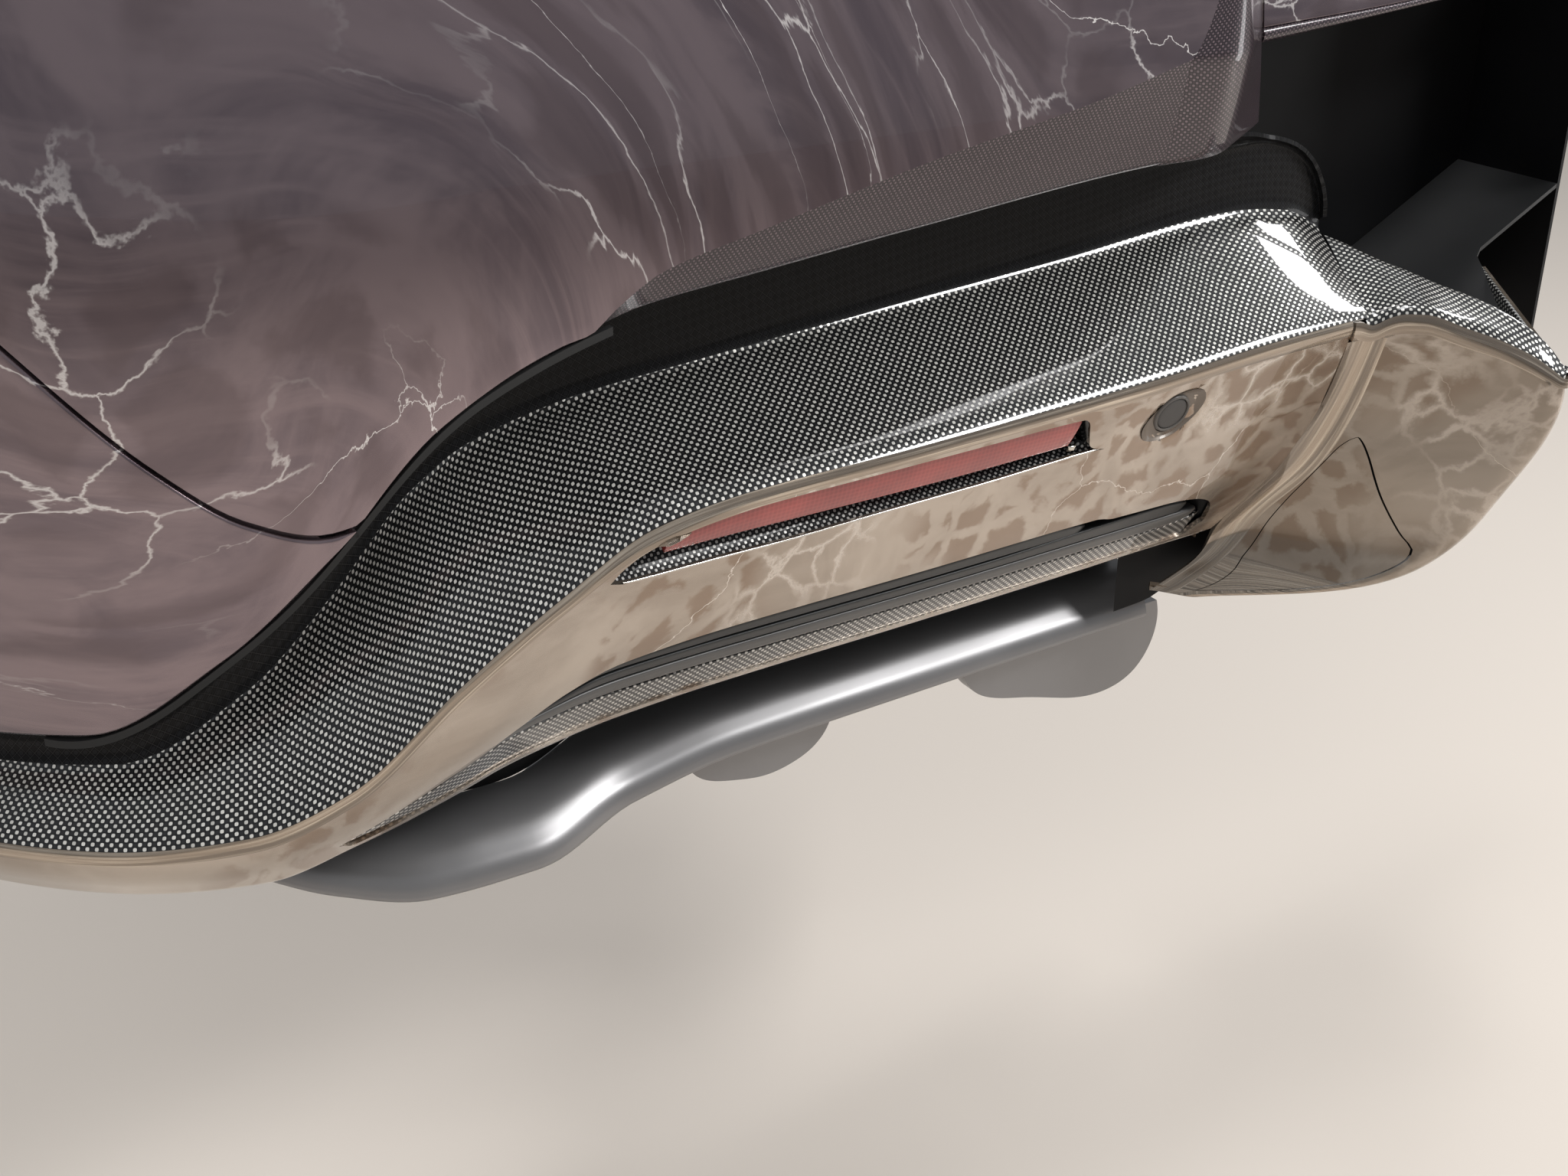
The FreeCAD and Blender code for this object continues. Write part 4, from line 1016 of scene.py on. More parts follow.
@dataclass
class UpperSkins:
    """Painted skins above the channel, the bare lip under them, the return and the strip over the opening."""

    finishes: Finishes
    gap: float = 1.3
    roll: float = 1.6
    edge_roll: float = 2.6
    top_roll: float = 2.0
    hem: float = 9.0
    quarter_end_s: float = -55.2
    wall: float = 2.2
    return_s: float = 330.0
    return_end_s: float = 385.0
    return_reach: float = 14.0
    return_lean: float = 0.15
    lean_start_s: float = 225.0
    lip_hollow: float = 0.045
    lip_thickening: float = 26.0
    lip_root: tuple[float, float] = (11.0, 1.6)
    lip_wall: float = 1.8
    overlap: float = 0.02
    bridge_n: float = 50.0
    bridge_low: Rows = ((386.0, 111.5), (421.0, 114.6), (488.0, 120.4), (610.0, 131.0))
    bridge_bead: Rows = ((386.0, 7.0), (488.0, 3.6), (610.0, 3.6))

    def upper_low(self, s: Array) -> Array:
        """Lower limit of the upper skin: the shut line, the diagonal edge, then the paint line."""
        shut = point_table(FORM.shut_line, np.minimum(s, FORM.shut_line[-1][0])) + self.gap / 2
        open_edge = np.maximum(FORM.column("edge_z", s), shut)
        return np.where(s < FORM.paint_start_s, open_edge, point_table(FORM.paint_line, s))

    def panels(self) -> None:
        """Upper skin and quarter skin, with rolled edges along the shut line and the diagonal edge."""
        s = places(FORM.start_s, FORM.paint_end_s, extra=(-52.0, -55.0, -50.0, FORM.paint_start_s))
        free = 1.0 - rise_between(s, 20.0, FORM.paint_start_s)
        size = self.roll + (self.edge_roll - self.roll) * rise_between(s, -60.0, -40.0)
        path = hemmed(FORM.crown, np.full_like(s, FORM.top_z), self.upper_low(s),
                      roll_high=self.top_roll, roll_low=size * free, hem=self.hem * np.maximum(free, 0.25),
                      steps=46)
        lean = rise_between(s, self.lean_start_s, FORM.paint_end_s)[:, None]
        lean = lean * (FORM.paint_end(path[..., 1]) - FORM.paint_end_s)
        Piece("upper_panel_skin", [Sheet(FORM.place(s[:, None] + lean, path[..., 0], path[..., 1]))],
              [self.finishes.upper], "stone_paint", ("upper_panel",), wall=self.wall, edge=0.4).build()
        s = places(FORM.start_s, self.quarter_end_s, extra=(-57.0, -59.0, -61.0))
        high = point_table(FORM.shut_line, s) - self.gap / 2
        low = np.minimum(FORM.column("edge_z", s), high - self.overlap)
        roll, edge_roll = (np.minimum(size, (high - low) * 0.3) for size in (self.roll, self.edge_roll))
        path = hemmed(FORM.crown, high, low, roll_high=roll, roll_low=edge_roll, hem=self.hem, steps=40)
        Piece("quarter_panel_skin", [Sheet(FORM.lay(s, path))], [self.finishes.upper], "stone_paint",
              ("quarter_panel",), wall=self.wall, edge=0.4).build()

    def lip(self) -> None:
        """Bare carbon under the paint line: it leaves the paint flush, hollows a little and rolls under."""
        s = places(FORM.paint_start_s, FORM.paint_end_s, 3.0)
        top = point_table(FORM.paint_line, s)
        start = pairs(FORM.crown(top), top)
        edge = FORM.pair(s, "edge_n", "edge_z")
        middle = start * 0.5 + edge * 0.5 - pairs(self.lip_hollow * (top - edge[:, 1]), 0.0)
        thick = rise_between(s, FORM.paint_start_s, FORM.paint_start_s + self.lip_thickening)[:, None]
        root = edge + np.array(self.lip_root) * (0.3 + 0.7 * thick)
        face = parabola(start, middle, edge + (middle - edge) * 0.16, 14)
        roll = parabola(face[:, -1], edge, edge * 0.72 + root * 0.28, 6)
        path = joined([face, roll, straight(roll[:, -1], root, 3)])
        sheet = Sheet(FORM.lay(s, path), from_last=True)
        Piece("panel_lip_carbon", [sheet], [self.finishes.lip], "carbon", ("panel_lip",), wall=self.lip_wall,
              edge=0.3).build()

    def return_wall(self) -> None:
        """Carbon return that carries the lip and the panel round an upright rounded corner."""
        line = FORM.paint_line[-1][1]
        low = float(FORM.column("edge_z", np.array(FORM.paint_end_s)))
        z = np.concatenate([np.linspace(FORM.top_z, line + 10.0, 22),
                            np.array([8.0, 6.0, 4.5, 3.0, 1.5]) + line, np.linspace(line, low + 2.6, 14)])
        front = FORM.panel_n(np.full_like(z, FORM.paint_end_s), z)
        share = np.clip((line - z) / (line - low), 0.0, 1.0)
        front = front - 2.0 * self.lip_hollow * (line - low) * share * (1.0 - share)
        turn = self.return_s + np.maximum(z - 150.0, 0.0) * self.return_lean
        end = pairs(self.return_end_s, self.bridge_n + 1.0 + FORM.crown(z))
        corners = np.stack([pairs(FORM.paint_end(z), front), pairs(turn, front), end], axis=1)
        path, _ = rounded(corners, reaches=(0.0, self.return_reach, 0.0), arc=12, runs=(6, 10))
        rows = FORM.place(path[..., 0], path[..., 1], z[:, None]).transpose(1, 0, 2)
        inward = FORM.place(path[..., 0], path[..., 1] + 2.4, z[:, None])[-1][:, None]
        foot = rows[:, -1:] * 0.35 + inward * 0.65 + np.array([-1.2, 0.0, -2.4])
        under = foot + np.array([-7.0, 3.0, 1.0])
        grid = np.concatenate([rows, foot, under], axis=1)
        Piece("panel_return_carbon", [Sheet(grid)], [self.finishes.lip], "carbon", ("panel_return",),
              wall=self.lip_wall, edge=0.3, sharp=60.0).build()

    def bridge(self) -> None:
        """Painted strip over the opening, with a rolled carbon bead along its lower edge."""
        s = places(self.return_end_s + 0.3, self.bridge_low[-1][0], 5.0)
        foot = point_table(self.bridge_low, s)
        thick = point_table(self.bridge_bead, s)
        path = hemmed(lambda z: self.bridge_n + FORM.crown(z), np.full_like(s, FORM.top_z), foot + thick,
                      roll_high=self.top_roll, roll_low=0.4, hem=6.0, steps=26)
        paint = Sheet(FORM.lay(s, path))
        angle = np.linspace(-0.55 * math.pi, 0.9 * math.pi, 15)[None, :]
        half = thick[:, None] / 2
        centre_n = self.bridge_n + FORM.crown(foot)[:, None] + half
        ring = pairs(centre_n - half * np.cos(angle), foot[:, None] + half - half * np.sin(angle))
        bead = Sheet(FORM.lay(s, ring), 1)
        Piece("bridge_strip_skin", [paint, bead], [self.finishes.upper, self.finishes.lip], "stone_paint",
              ("bridge_strip",), wall=2.0, edge=0.3).build()

    def build(self) -> None:
        """Make every piece."""
        self.panels()
        self.lip()
        self.return_wall()
        self.bridge()


@dataclass
class Channel:
    """Carbon channel: the ceiling, the wall and the blade that ends in the roll over the painted face."""

    finishes: Finishes
    shelf_start_s: float = 286.0
    shelf_end_s: float = 385.0
    wall_fade_s: float = 372.0
    shelf_left: float = 0.08
    wall_left: float = 0.1
    crease_round: float = 6.0
    top_round: float = 5.0
    root_rise: float = 9.0
    root_depth: float = 3.0
    wall_slope: float = 1.5
    bound_round: Rows = (
        (-600.0, 8.0), (-60.0, 9.0), (20.0, 12.0), (60.0, 17.0), (95.0, 14.0), (170.0, 10.0), (414.0, 9.0))
    paint_round: float = 6.0
    ridge: Rows = (
        (6.0, 64.0), (18.0, 58.0), (28.0, 50.0), (38.0, 46.0), (44.0, 40.0), (54.0, 32.0), (61.0, 26.0))
    ridge_height: float = 2.6
    ridge_width: float = 36.0
    ridge_round: float = 3.0
    wall: float = 2.0

    def wall_share(self, s: Array) -> Array:
        """Share of the wall that is left at s: a quarter ellipse down to its rounded end."""
        run = np.clip((s - self.wall_fade_s) / (FORM.valley_s - self.wall_fade_s), 0.0, 1.0)
        return self.wall_left + (1.0 - self.wall_left) * np.sqrt(np.maximum(0.0, 1.0 - run * run))

    def shelf_share(self, s: Array) -> Array:
        """Share of the ceiling that is left at s: it falls with the power 1.5 of the run."""
        run = np.clip((s - self.shelf_start_s) / (self.shelf_end_s - self.shelf_start_s), 0.0, 1.0)
        return 1.0 - (1.0 - self.shelf_left) * run ** 1.5

    def lay(self, s: Array, path: Array) -> Array:
        """Points of section paths, with each section slanted inboard towards its crease."""
        lean = FORM.slant(s)[:, None] * path[..., 0] / FORM.column("crease_n", s)[:, None]
        return FORM.place(s[:, None] + lean, path[..., 0], path[..., 1])

    def ridged(self, s: Array, path: Array) -> Array:
        """Blade with a blunt ridge across it where the plan line turns.

        The rise is a rounded tent about the ridge's line, squared on its slopes. It fades at the crease and
        at the boundary, and moves the blade up.

        Args:
            s: path length.
            path: paths of (n, z).

        Returns:
            Paths of (n, z).
        """
        n = path[..., 0]
        away = s[:, None] - point_table(self.ridge, np.clip(n, 6.0, 61.0))
        far = np.sqrt(away * away + self.ridge_round ** 2)
        tent = np.clip(1.0 - far / self.ridge_width, 0.0, 1.0) ** 2
        rise = self.ridge_height * tent * rise_between(n, 2.0, 12.0) * (1.0 - rise_between(n, 48.0, 60.0))
        return pairs(n, path[..., 1] + rise)

    def corners(self, s: Array) -> Array:
        """Root, top of the wall, crease and boundary of each section, as (n, z)."""
        crease = FORM.pair(s, "crease_n", "crease_z")
        top = pairs(crease[:, 0] + self.wall_slope, FORM.column("wall_z", s))
        root_z = FORM.column("edge_z", s) + self.root_rise
        root = pairs(FORM.panel_n(s, root_z) + self.root_depth, root_z)
        moved = crease + (top - crease) * self.wall_share(s)[:, None]
        back = moved + (root - top) * self.shelf_share(s)[:, None]
        return np.stack([back, moved, crease, FORM.bound(s)], axis=1)

    def boundary(self, s: Array) -> tuple[Array, Array]:
        """The two halves of the roll between blade and painted face, as (n, z) paths.

        Args:
            s: path length.

        Returns:
            The carbon half and the painted half.
        """
        near = self.corners(s)[:, 2]
        here = FORM.bound(s)
        down = FORM.pair(s, "mid_n", "mid_z")
        up_step, down_step = near - here, down - here
        up_run, down_run = np.linalg.norm(up_step, axis=1), np.linalg.norm(down_step, axis=1)
        up_reach = np.minimum(point_table(self.bound_round, s), 0.48 * up_run)
        down_reach = np.minimum(self.paint_round, 0.48 * down_run)
        return halves(parabola(here + up_step * (up_reach / up_run)[:, None], here,
                               here + down_step * (down_reach / down_run)[:, None], 16))

    def build(self) -> None:
        """Make the channel: ceiling and wall in one weave, the blade in another."""
        near_end = FORM.valley_s - np.array([0.4, 1.2, 2.5, 5.0, 8.0, 12.0])
        over_ridge = np.arange(16.0, 84.0, 2.0)
        s = places(FORM.start_s, FORM.valley_s, extra=(*near_end, *over_ridge))
        path, middles = rounded(self.corners(s), reaches=(0.0, self.top_round, self.crease_round, 0.0), arc=8,
                                runs=(6, 8, 26))
        split = middles[2]
        carbon_half, _ = self.boundary(s)
        run = straight(path[:, split + 4], carbon_half[:, 0], 24)
        blade = self.ridged(s, joined([path[:, split:split + 5], run, carbon_half]))
        sheets = [Sheet(self.lay(s, path[:, :split + 1]), 1, from_last=True),
                  Sheet(self.lay(s, blade), from_last=True)]
        Piece("channel_carbon", sheets, [self.finishes.blade, self.finishes.wall], "carbon",
              ("carbon_channel",), wall=self.wall, edge=0.3, sharp=60.0).build()


@dataclass
class SensorEye:
    """Parking sensor in its eye-shaped recess."""

    s: float = 308.7
    z: float = -31.0
    hole: float = 9.2
    half_length: float = 18.5
    half_width: float = 12.0
    depth: float = 2.4
    tilt: float = 24.0
    look: tuple[float, float] = (74.0, 25.7)
    disc: Rows = ((0.0, 0.75), (2.5, 0.72), (5.0, 0.62), (6.6, 0.5), (7.3, 0.36), (7.65, 0.1),
                  (7.75, -0.3), (7.75, -2.6))
    disc_lift: float = 0.9
    ring: Rows = ((7.95, -2.4), (7.95, 0.3), (8.1, 0.75), (8.5, 0.95), (8.9, 0.85), (9.3, 0.5),
                  (9.55, -0.2), (9.6, -2.4))
    ring_lift: float = 0.7
    shade_start: float = 9.0
    shade_share: float = 0.93
    shade_lift: float = 0.25

    def dish(self, s: Array, z: Array) -> Array:
        """How far the recess sinks the face: full inside an almond and nought outside it.

        The almond is where a slanting length and width, each to a power, add up to less than one. Its rim is
        a smooth step.

        Args:
            s: path length.
            z: height.

        Returns:
            Distance inwards.
        """
        turn = math.radians(self.tilt)
        along = (s - self.s) * math.cos(turn) + (z - self.z) * math.sin(turn)
        across = (z - self.z) * math.cos(turn) - (s - self.s) * math.sin(turn)
        size = np.abs(along / self.half_length) ** 1.5 + np.abs(across / self.half_width) ** 2.2
        return self.depth * (1.0 - rise_between(size, 0.55, 1.0))

    def axis(self) -> tuple[Array, Array]:
        """Centre on the face and the direction that the sensor looks in, which falls as the face leans."""
        s, z = np.array(self.s), np.array(self.z)
        slope = math.atan2(self.look[1], self.look[0])
        return FORM.place(s, FORM.face_n(s, z), z), np.array([0.0, -math.cos(slope), -math.sin(slope)])

    def turned(self, profile: Rows, lift: float) -> Array:
        """Surface of a profile of (radius, height) turned about the axis, last point first and lifted.

        Args:
            profile: rows of (radius, height over the recess).
            lift: height added to the profile.

        Returns:
            Turns × points × coordinates.
        """
        centre, out = self.axis()
        side = np.array([1.0, 0.0, 0.0])
        angle = np.linspace(0.0, 2 * math.pi, 73)[:, None, None]
        around = np.cos(angle) * side + np.sin(angle) * np.cross(side, out)
        rows = np.array(profile[::-1])[None]
        return centre + rows[..., :1] * around + (rows[..., 1:] + lift - self.depth) * out

    def build(self, finishes: Finishes) -> None:
        """Make the domed disc, the two-step ring round it and the recess's painted shade."""
        parts = (("sensor_disc", self.disc, self.disc_lift, finishes.sensor, "sensor_grey"),
                 ("sensor_ring", self.ring, self.ring_lift, finishes.ring, "black_plastic"))
        for node, profile, lift, finish, slot in parts:
            Piece(node + "_face", [Sheet(self.turned(profile, lift))], [finish], slot, (node,)).build()
        self.recess(finishes)

    def recess(self, finishes: Finishes) -> None:
        """Painted shade over the floor of the recess, a darker copy of the lower paint: rays from the hole to
        the almond's rim, just over the skin.

        Each round moves the rim halfway to its radius over the root of the almond's size there, which ends
        where that size is one.
        """
        angle = np.linspace(0.0, 2 * math.pi, 97)[:, None]
        turn = math.radians(self.tilt)
        reach = ((np.abs(np.cos(angle)) / self.half_length) ** 1.5,
                 (np.abs(np.sin(angle)) / self.half_width) ** 2.2)
        rim = np.full_like(angle, 12.0)
        for _ in range(24):
            size = np.maximum(reach[0] * rim ** 1.5 + reach[1] * rim ** 2.2, 1e-6)
            rim = rim * 0.5 + 0.5 * rim / size ** 0.5
        far = np.maximum(rim * self.shade_share, self.hole)
        radius = self.shade_start + (far - self.shade_start) * np.linspace(0.0, 1.0, 9)[None, :]
        along, across = radius * np.cos(angle), radius * np.sin(angle)
        s = self.s + along * math.cos(turn) - across * math.sin(turn)
        z = self.z + along * math.sin(turn) + across * math.cos(turn)
        n = FORM.face_n(s, z) + self.dish(s, z) - self.shade_lift
        Piece("sensor_recess", [Sheet(FORM.place(s, n, z)[:, ::-1])], [finishes.recess],
              "stone_paint").build()


@dataclass
class LowerSkin:
    """Painted lower face with the reflector slot, the sensor's hole and the vane opening."""

    finishes: Finishes
    channel: Channel
    eye: SensorEye
    end_s: float = 406.0
    lean_start_s: float = 366.0
    lip_round: float = 2.4
    hem_step: tuple[float, float] = (8.0, 0.8)
    wall: float = 2.2
    slot_start_s: float = 36.0
    slot_end_s: float = 273.0
    slot_top: Rows = (
        (36.0, -42.5), (41.0, -37.6), (48.0, -33.6), (60.0, -29.8), (80.0, -26.8), (102.0, -24.8),
        (159.0, -23.3), (205.0, -22.2), (244.0, -21.2), (255.0, -21.3), (258.5, -23.5), (261.0, -30.0),
        (263.5, -36.3), (268.0, -38.9), (273.0, -39.9))
    slot_low: Rows = (
        (36.0, -42.5), (44.0, -45.0), (60.0, -46.0), (106.0, -46.4), (165.0, -44.3), (212.0, -42.8),
        (245.0, -41.0), (259.0, -40.2), (273.0, -39.9))
    seam: Rows = (
        (-600.0, -129.0), (-160.0, -129.0), (-104.0, -127.5), (-67.0, -115.0), (-24.0, -84.0), (15.0, -58.0),
        (36.0, -42.5), (273.0, -39.9), (290.0, -34.0), (299.0, -31.0), (318.5, -31.0), (380.0, -32.0),
        (414.0, -32.0))
    vent_start_s: float = -74.0
    vent_end_s: float = 367.0
    vent_end_z: float = -107.0
    vent_round_s: float = 355.0
    vent_top: Rows = (
        (-74.0, -133.5), (-40.0, -119.5), (4.0, -103.0), (24.0, -93.8), (48.0, -88.2), (100.0, -85.6),
        (200.0, -83.6), (286.0, -81.8), (296.0, -84.0), (330.0, -84.2), (346.0, -86.0), (358.0, -90.5),
        (364.5, -98.0), (367.0, -107.0))
    vent_seam: Rows = ((-600.0, -141.0), (-160.0, -142.0), (-104.0, -139.5), (-74.0, -133.5))
    vent_lift: float = 4.0
    valley: Rows = (
        (5.2, 416.5), (48.0, 416.5), (83.0, 404.5), (112.0, 392.5), (132.0, 377.0), (145.0, 350.0))
    opening_ends: tuple[float, ...] = (
        36.0, 36.5, 37.4, 38.6, 40.0, 42.0, 255.0, 256.5, 257.6, 258.5, 259.3, 260.1, 261.0, 261.9, 262.8,
        263.6, 264.6, 266.0, 268.0, 270.5, 273.0, -74.0, 286.0, 290.0, 293.0, 296.0, 346.0, 349.0, 352.0,
        355.0, 358.0, 360.0, 361.8, 363.2, 364.5, 365.6, 366.4, 367.0)
    pocket_low: Rows = ((335.0, -157.0), (356.0, -155.5), (364.0, -153.0), (376.0, -149.0), (398.0, -145.0))
    pocket_n: float = 64.0
    pocket_depth: float = 22.0
    pocket_close_s: float = 366.0

    def cuts(self, s: Array) -> tuple[Array, Array, Array, Array]:
        """Upper and lower height of the slot or the sensor's hole, and of the vane opening, at each s.

        Where there is no hole the two heights are the same.

        Args:
            s: path length.

        Returns:
            Heights of the two openings: top, low, top, low.
        """
        rest = point_table(self.seam, s)
        inside = (s > self.slot_start_s) & (s < self.slot_end_s)
        top = np.where(inside, point_table(self.slot_top, s), rest)
        low = np.where(inside, point_table(self.slot_low, s), rest)
        half = np.sqrt(np.maximum(self.eye.hole ** 2 - (s - self.eye.s) ** 2, 0.0))
        seen = np.abs(s - self.eye.s) <= self.eye.hole + 1e-6
        top = np.where(seen, self.eye.z + half, top)
        low = np.where(seen, self.eye.z - half, low)
        closed = point_table(self.vent_seam, s)
        floor = np.where(s < self.vent_start_s, closed, FORM.column("lip_z", s) + self.vent_lift)
        turned_up = rise_between(s, self.vent_round_s, self.vent_end_s) ** 2
        floor = np.where(s > self.vent_round_s, floor + (self.vent_end_z - floor) * turned_up, floor)
        opened = (s > self.vent_start_s) & (s < self.vent_end_s)
        vent_top = np.where(opened, point_table(self.vent_top, s), np.where(s < 0.0, closed, self.vent_end_z))
        vent_low = np.where(opened, np.minimum(floor, vent_top), vent_top)
        return top, low, vent_top, vent_low

    def valley_s(self, z: Array) -> Array:
        """Place of the valley line at a height."""
        return point_table(self.valley, -z)

    def build(self) -> None:
        """Make the face as rows of heights, and leave out the faces inside the openings."""
        hole = self.eye.s - self.eye.hole * np.cos(np.linspace(0.0, math.pi, 33))
        s = places(FORM.start_s, self.end_s, extra=(*hole, *self.opening_ends))
        _, paint_half = self.channel.boundary(s)
        top, low, vent_top, vent_low = self.cuts(s)
        lip_z = FORM.column("lip_z", s)
        bands = ((paint_half[:, -1, 1], top, 12), (low, vent_top, 22),
                 (vent_low, lip_z + self.lip_round * 0.8, 5))
        z = np.concatenate([spread(*band) for band in bands], axis=1)
        face = pairs(FORM.face_n(s[:, None], z) + self.eye.dish(s[:, None], z), z)
        edge = pairs(FORM.face_n(s, lip_z), lip_z)
        under = edge + np.array([self.lip_round, 0.4])
        roll = parabola(face[:, -1], edge, under, 6)
        hem = straight(under, edge + np.array(self.hem_step), 2)
        path = np.concatenate([paint_half[:, :-1], face, roll[:, 1:], hem[:, 1:]], axis=1)
        split = paint_half.shape[1]
        valid = np.ones(path.shape[1] - 1, dtype=bool)
        valid[split - 2 + np.cumsum([steps + 1 for _, _, steps in bands[:-1]])] = False
        lean = rise_between(s, self.lean_start_s, self.end_s)[:, None]
        moved = s[:, None] + lean * (self.valley_s(path[..., 1]) - FORM.valley_reach - self.end_s)
        points = FORM.place(moved, path[..., 0], path[..., 1])
        kept = np.broadcast_to(valid[None, split:], (len(s) - 1, len(valid) - split))
        # The painted half of the roll takes the streaked finish, painted reflection of the ground.
        sheets = [Sheet(points[:, :split + 1], 1), Sheet(points[:, split:], kept=kept)]
        Piece("lower_skin_paint", sheets, [self.finishes.lower, self.finishes.streaked], "stone_paint",
              ("lower_skin",), wall=self.wall, edge=0.35).build()
        self.pocket()

    def pocket(self) -> None:
        """Near-black sheets behind the vane opening, painted shade where its inside shows: its back, which
        comes forward to its end, and its side.
        """
        s = places(300.0, 378.0, 2.5)
        _, _, top, low = self.cuts(np.minimum(s, 346.0))
        z = spread(top + 2.5, low - 2.5, 8)
        left = np.clip((self.pocket_close_s - s) / 60.0, 0.0, 1.0)
        depth = 3.0 + self.pocket_depth * np.sqrt(left)[:, None]
        back = Sheet(FORM.place(s[:, None], FORM.face_n(s[:, None], z) + depth, z))
        s = places(self.pocket_low[0][0], self.pocket_low[-1][0])
        z = spread(np.full_like(s, -98.0), point_table(self.pocket_low, s), 8)
        side = Sheet(FORM.place(s[:, None], self.pocket_n, z))
        Piece("vane_pocket_painted_shade", [back, side], [self.finishes.deep], "black_plastic").build()


@dataclass
class Lobe:
    """Painted lobe inboard of the rear face, its tow-eye cover and the carbon nose over it."""

    finishes: Finishes
    nose_round: float = 14.0
    top_nose_round: float = 9.0
    valley_round: float = 10.0
    fillet_fade: tuple[float, float] = (108.0, 136.0)
    gap: float = 1.1
    top_roll: float = 9.0
    far_roll: float = 10.0
    arch_end_w: float = 48.0
    hem_share: float = 0.10
    hem_step: Point = (0.0, 4.0, 1.5)
    far_hem: Point = (0.0, 1.0, -8.0)
    nose_step: Point = (-3.0, 4.5, 3.0)
    # Level from which the lobe's face takes the painted reflection streaks.
    streak_w: float = 126.0
    tip_steps: int = 16
    flank_steps: int = 12
    far_share: float = 0.8
    gap_shade_offset: Point = (2.6, 3.4, 0.0)
    wall: float = 2.2
    rows: Rows = (
        (416.5, 0.0, -5.2, 481.0, -59.5, -26.0, 556.0, 55.0, -12.2),
        (416.5, 15.0, -48.0, 480.0, -59.0, -56.0, 556.0, 60.0, -52.0),
        (404.5, 26.5, -83.0, 467.0, -47.5, -90.0, 548.0, 65.0, -88.0),
        (392.5, 46.0, -112.0, 452.0, -34.0, -119.0, 530.0, 70.0, -116.0),
        (377.0, 51.5, -132.0, 418.0, -4.0, -141.0, 498.0, 75.0, -136.0),
        (350.0, 55.0, -145.0, 372.0, 39.0, -149.5, 450.0, 77.0, -147.0),
    )
    arch: Rows = (
        (-0.12, 2.6), (-0.06, 1.9), (0.0, 0.4), (0.03, 1.2), (0.085, 4.8), (0.16, 8.9), (0.222, 10.5),
        (0.297, 11.8), (0.46, 10.1), (0.623, 8.8), (0.785, 5.6), (0.9, 2.0), (0.955, 0.0), (1.0, 0.0))
    ribs: Rows = (
        (-0.02, 440.6, 61.0, 21.6), (0.06, 445.4, 49.4, 18.5), (0.16, 451.3, 34.1, 13.8),
        (0.28, 456.3, 21.0, 10.9), (0.42, 461.8, 6.5, 7.4), (0.56, 467.2, -7.5, 4.6),
        (0.68, 472.1, -20.3, 1.0), (0.80, 477.6, -34.6, -5.4), (0.90, 481.6, -45.0, -12.9),
        (0.97, 484.2, -52.0, -20.5), (1.0, 485.5, -55.0, -23.5))
    cover_left: Rows = (
        (62.0, 0.10), (64.0, 0.062), (70.0, 0.02), (81.0, 0.006), (92.0, 0.02), (103.0, 0.047),
        (127.0, 0.105), (135.5, 0.26), (140.0, 0.40), (142.5, 0.5))
    cover_right: Rows = (
        (62.0, 0.10), (64.0, 0.14), (70.0, 0.23), (80.0, 0.37), (90.0, 0.525), (104.0, 0.78), (111.0, 0.95),
        (116.0, 0.985), (126.0, 0.99), (134.0, 0.97), (140.0, 0.80), (142.5, 0.5))

    def levels(self, w: Array) -> Array:
        """Valley, nose and side points of the lobe at each level, levels × 3 × (s, n, z)."""
        rows = np.array(self.rows).reshape(-1, 3, 3)
        return spline_rows(-rows[:, 0, 2], rows, w)

    def parts(self, w: Array) -> tuple[Array, Array, Array, Array]:
        """Fillet from the face, straight face, and round nose and side of each level.

        Args:
            w: levels, downwards.

        Returns:
            Four sets of paths, levels × points × coordinates.
        """
        rows = self.levels(w)
        valley, nose, side = (FORM.place(rows[:, k, 0], rows[:, k, 1], rows[:, k, 2]) for k in range(3))
        hold = 1.0 - rise_between(w, *self.fillet_fade)
        before_s = rows[:, 0, 0] - FORM.valley_reach * hold - 1.0 * (1.0 - hold)
        z = rows[:, 0, 2]
        before_n = FORM.face_n(before_s, z) * hold + rows[:, 0, 1] * (1.0 - hold)
        before = FORM.place(before_s, before_n, z)
        length = np.linalg.norm(nose - valley, axis=1)
        out = (nose - valley) / length[:, None]
        on_side = (side - nose) / np.linalg.norm(side - nose, axis=1)[:, None]
        leave = valley + out * np.minimum(self.valley_round, 0.3 * length)[:, None]
        share = rise_between(w, self.top_level(), self.arch_end_w)
        size = self.top_nose_round + (self.nose_round - self.top_nose_round) * share
        reach = np.minimum(size, 0.42 * length)[:, None]
        fillet = parabola(before, valley, leave, 10)
        tip = parabola(nose - out * reach, nose, nose + on_side * reach, self.tip_steps)
        flank = straight(tip[:, -1], side, self.flank_steps)
        return fillet, np.stack([leave, tip[:, 0]], axis=1), tip, flank

    def along_face(self, w: Array, grid: Array) -> Array:
        """Share of the way from the valley to the nose, for points of each level.

        Args:
            w: levels, downwards.
            grid: levels × points × coordinates.

        Returns:
            Levels × points.
        """
        rows = self.levels(w)
        valley, nose = (FORM.place(rows[:, k, 0], rows[:, k, 1], 0.0) for k in (0, 1))
        step = nose - valley
        return ((grid - valley[:, None]) * step[:, None]).sum(axis=-1) / (step * step).sum(axis=-1)[:, None]

    def arched(self, w: Array, grid: Array) -> Array:
        """Points of the levels lifted by the arch of the upper edge, which fades out below it.

        Args:
            w: levels, downwards.
            grid: levels × points × coordinates.

        Returns:
            The lifted points.
        """
        fade = 1.0 - rise_between(w, self.top_level(), self.arch_end_w)
        lift = point_table(self.arch, self.along_face(w, grid)) * fade[:, None]
        return grid + lift[..., None] * np.array([0.0, 0.0, 1.0])

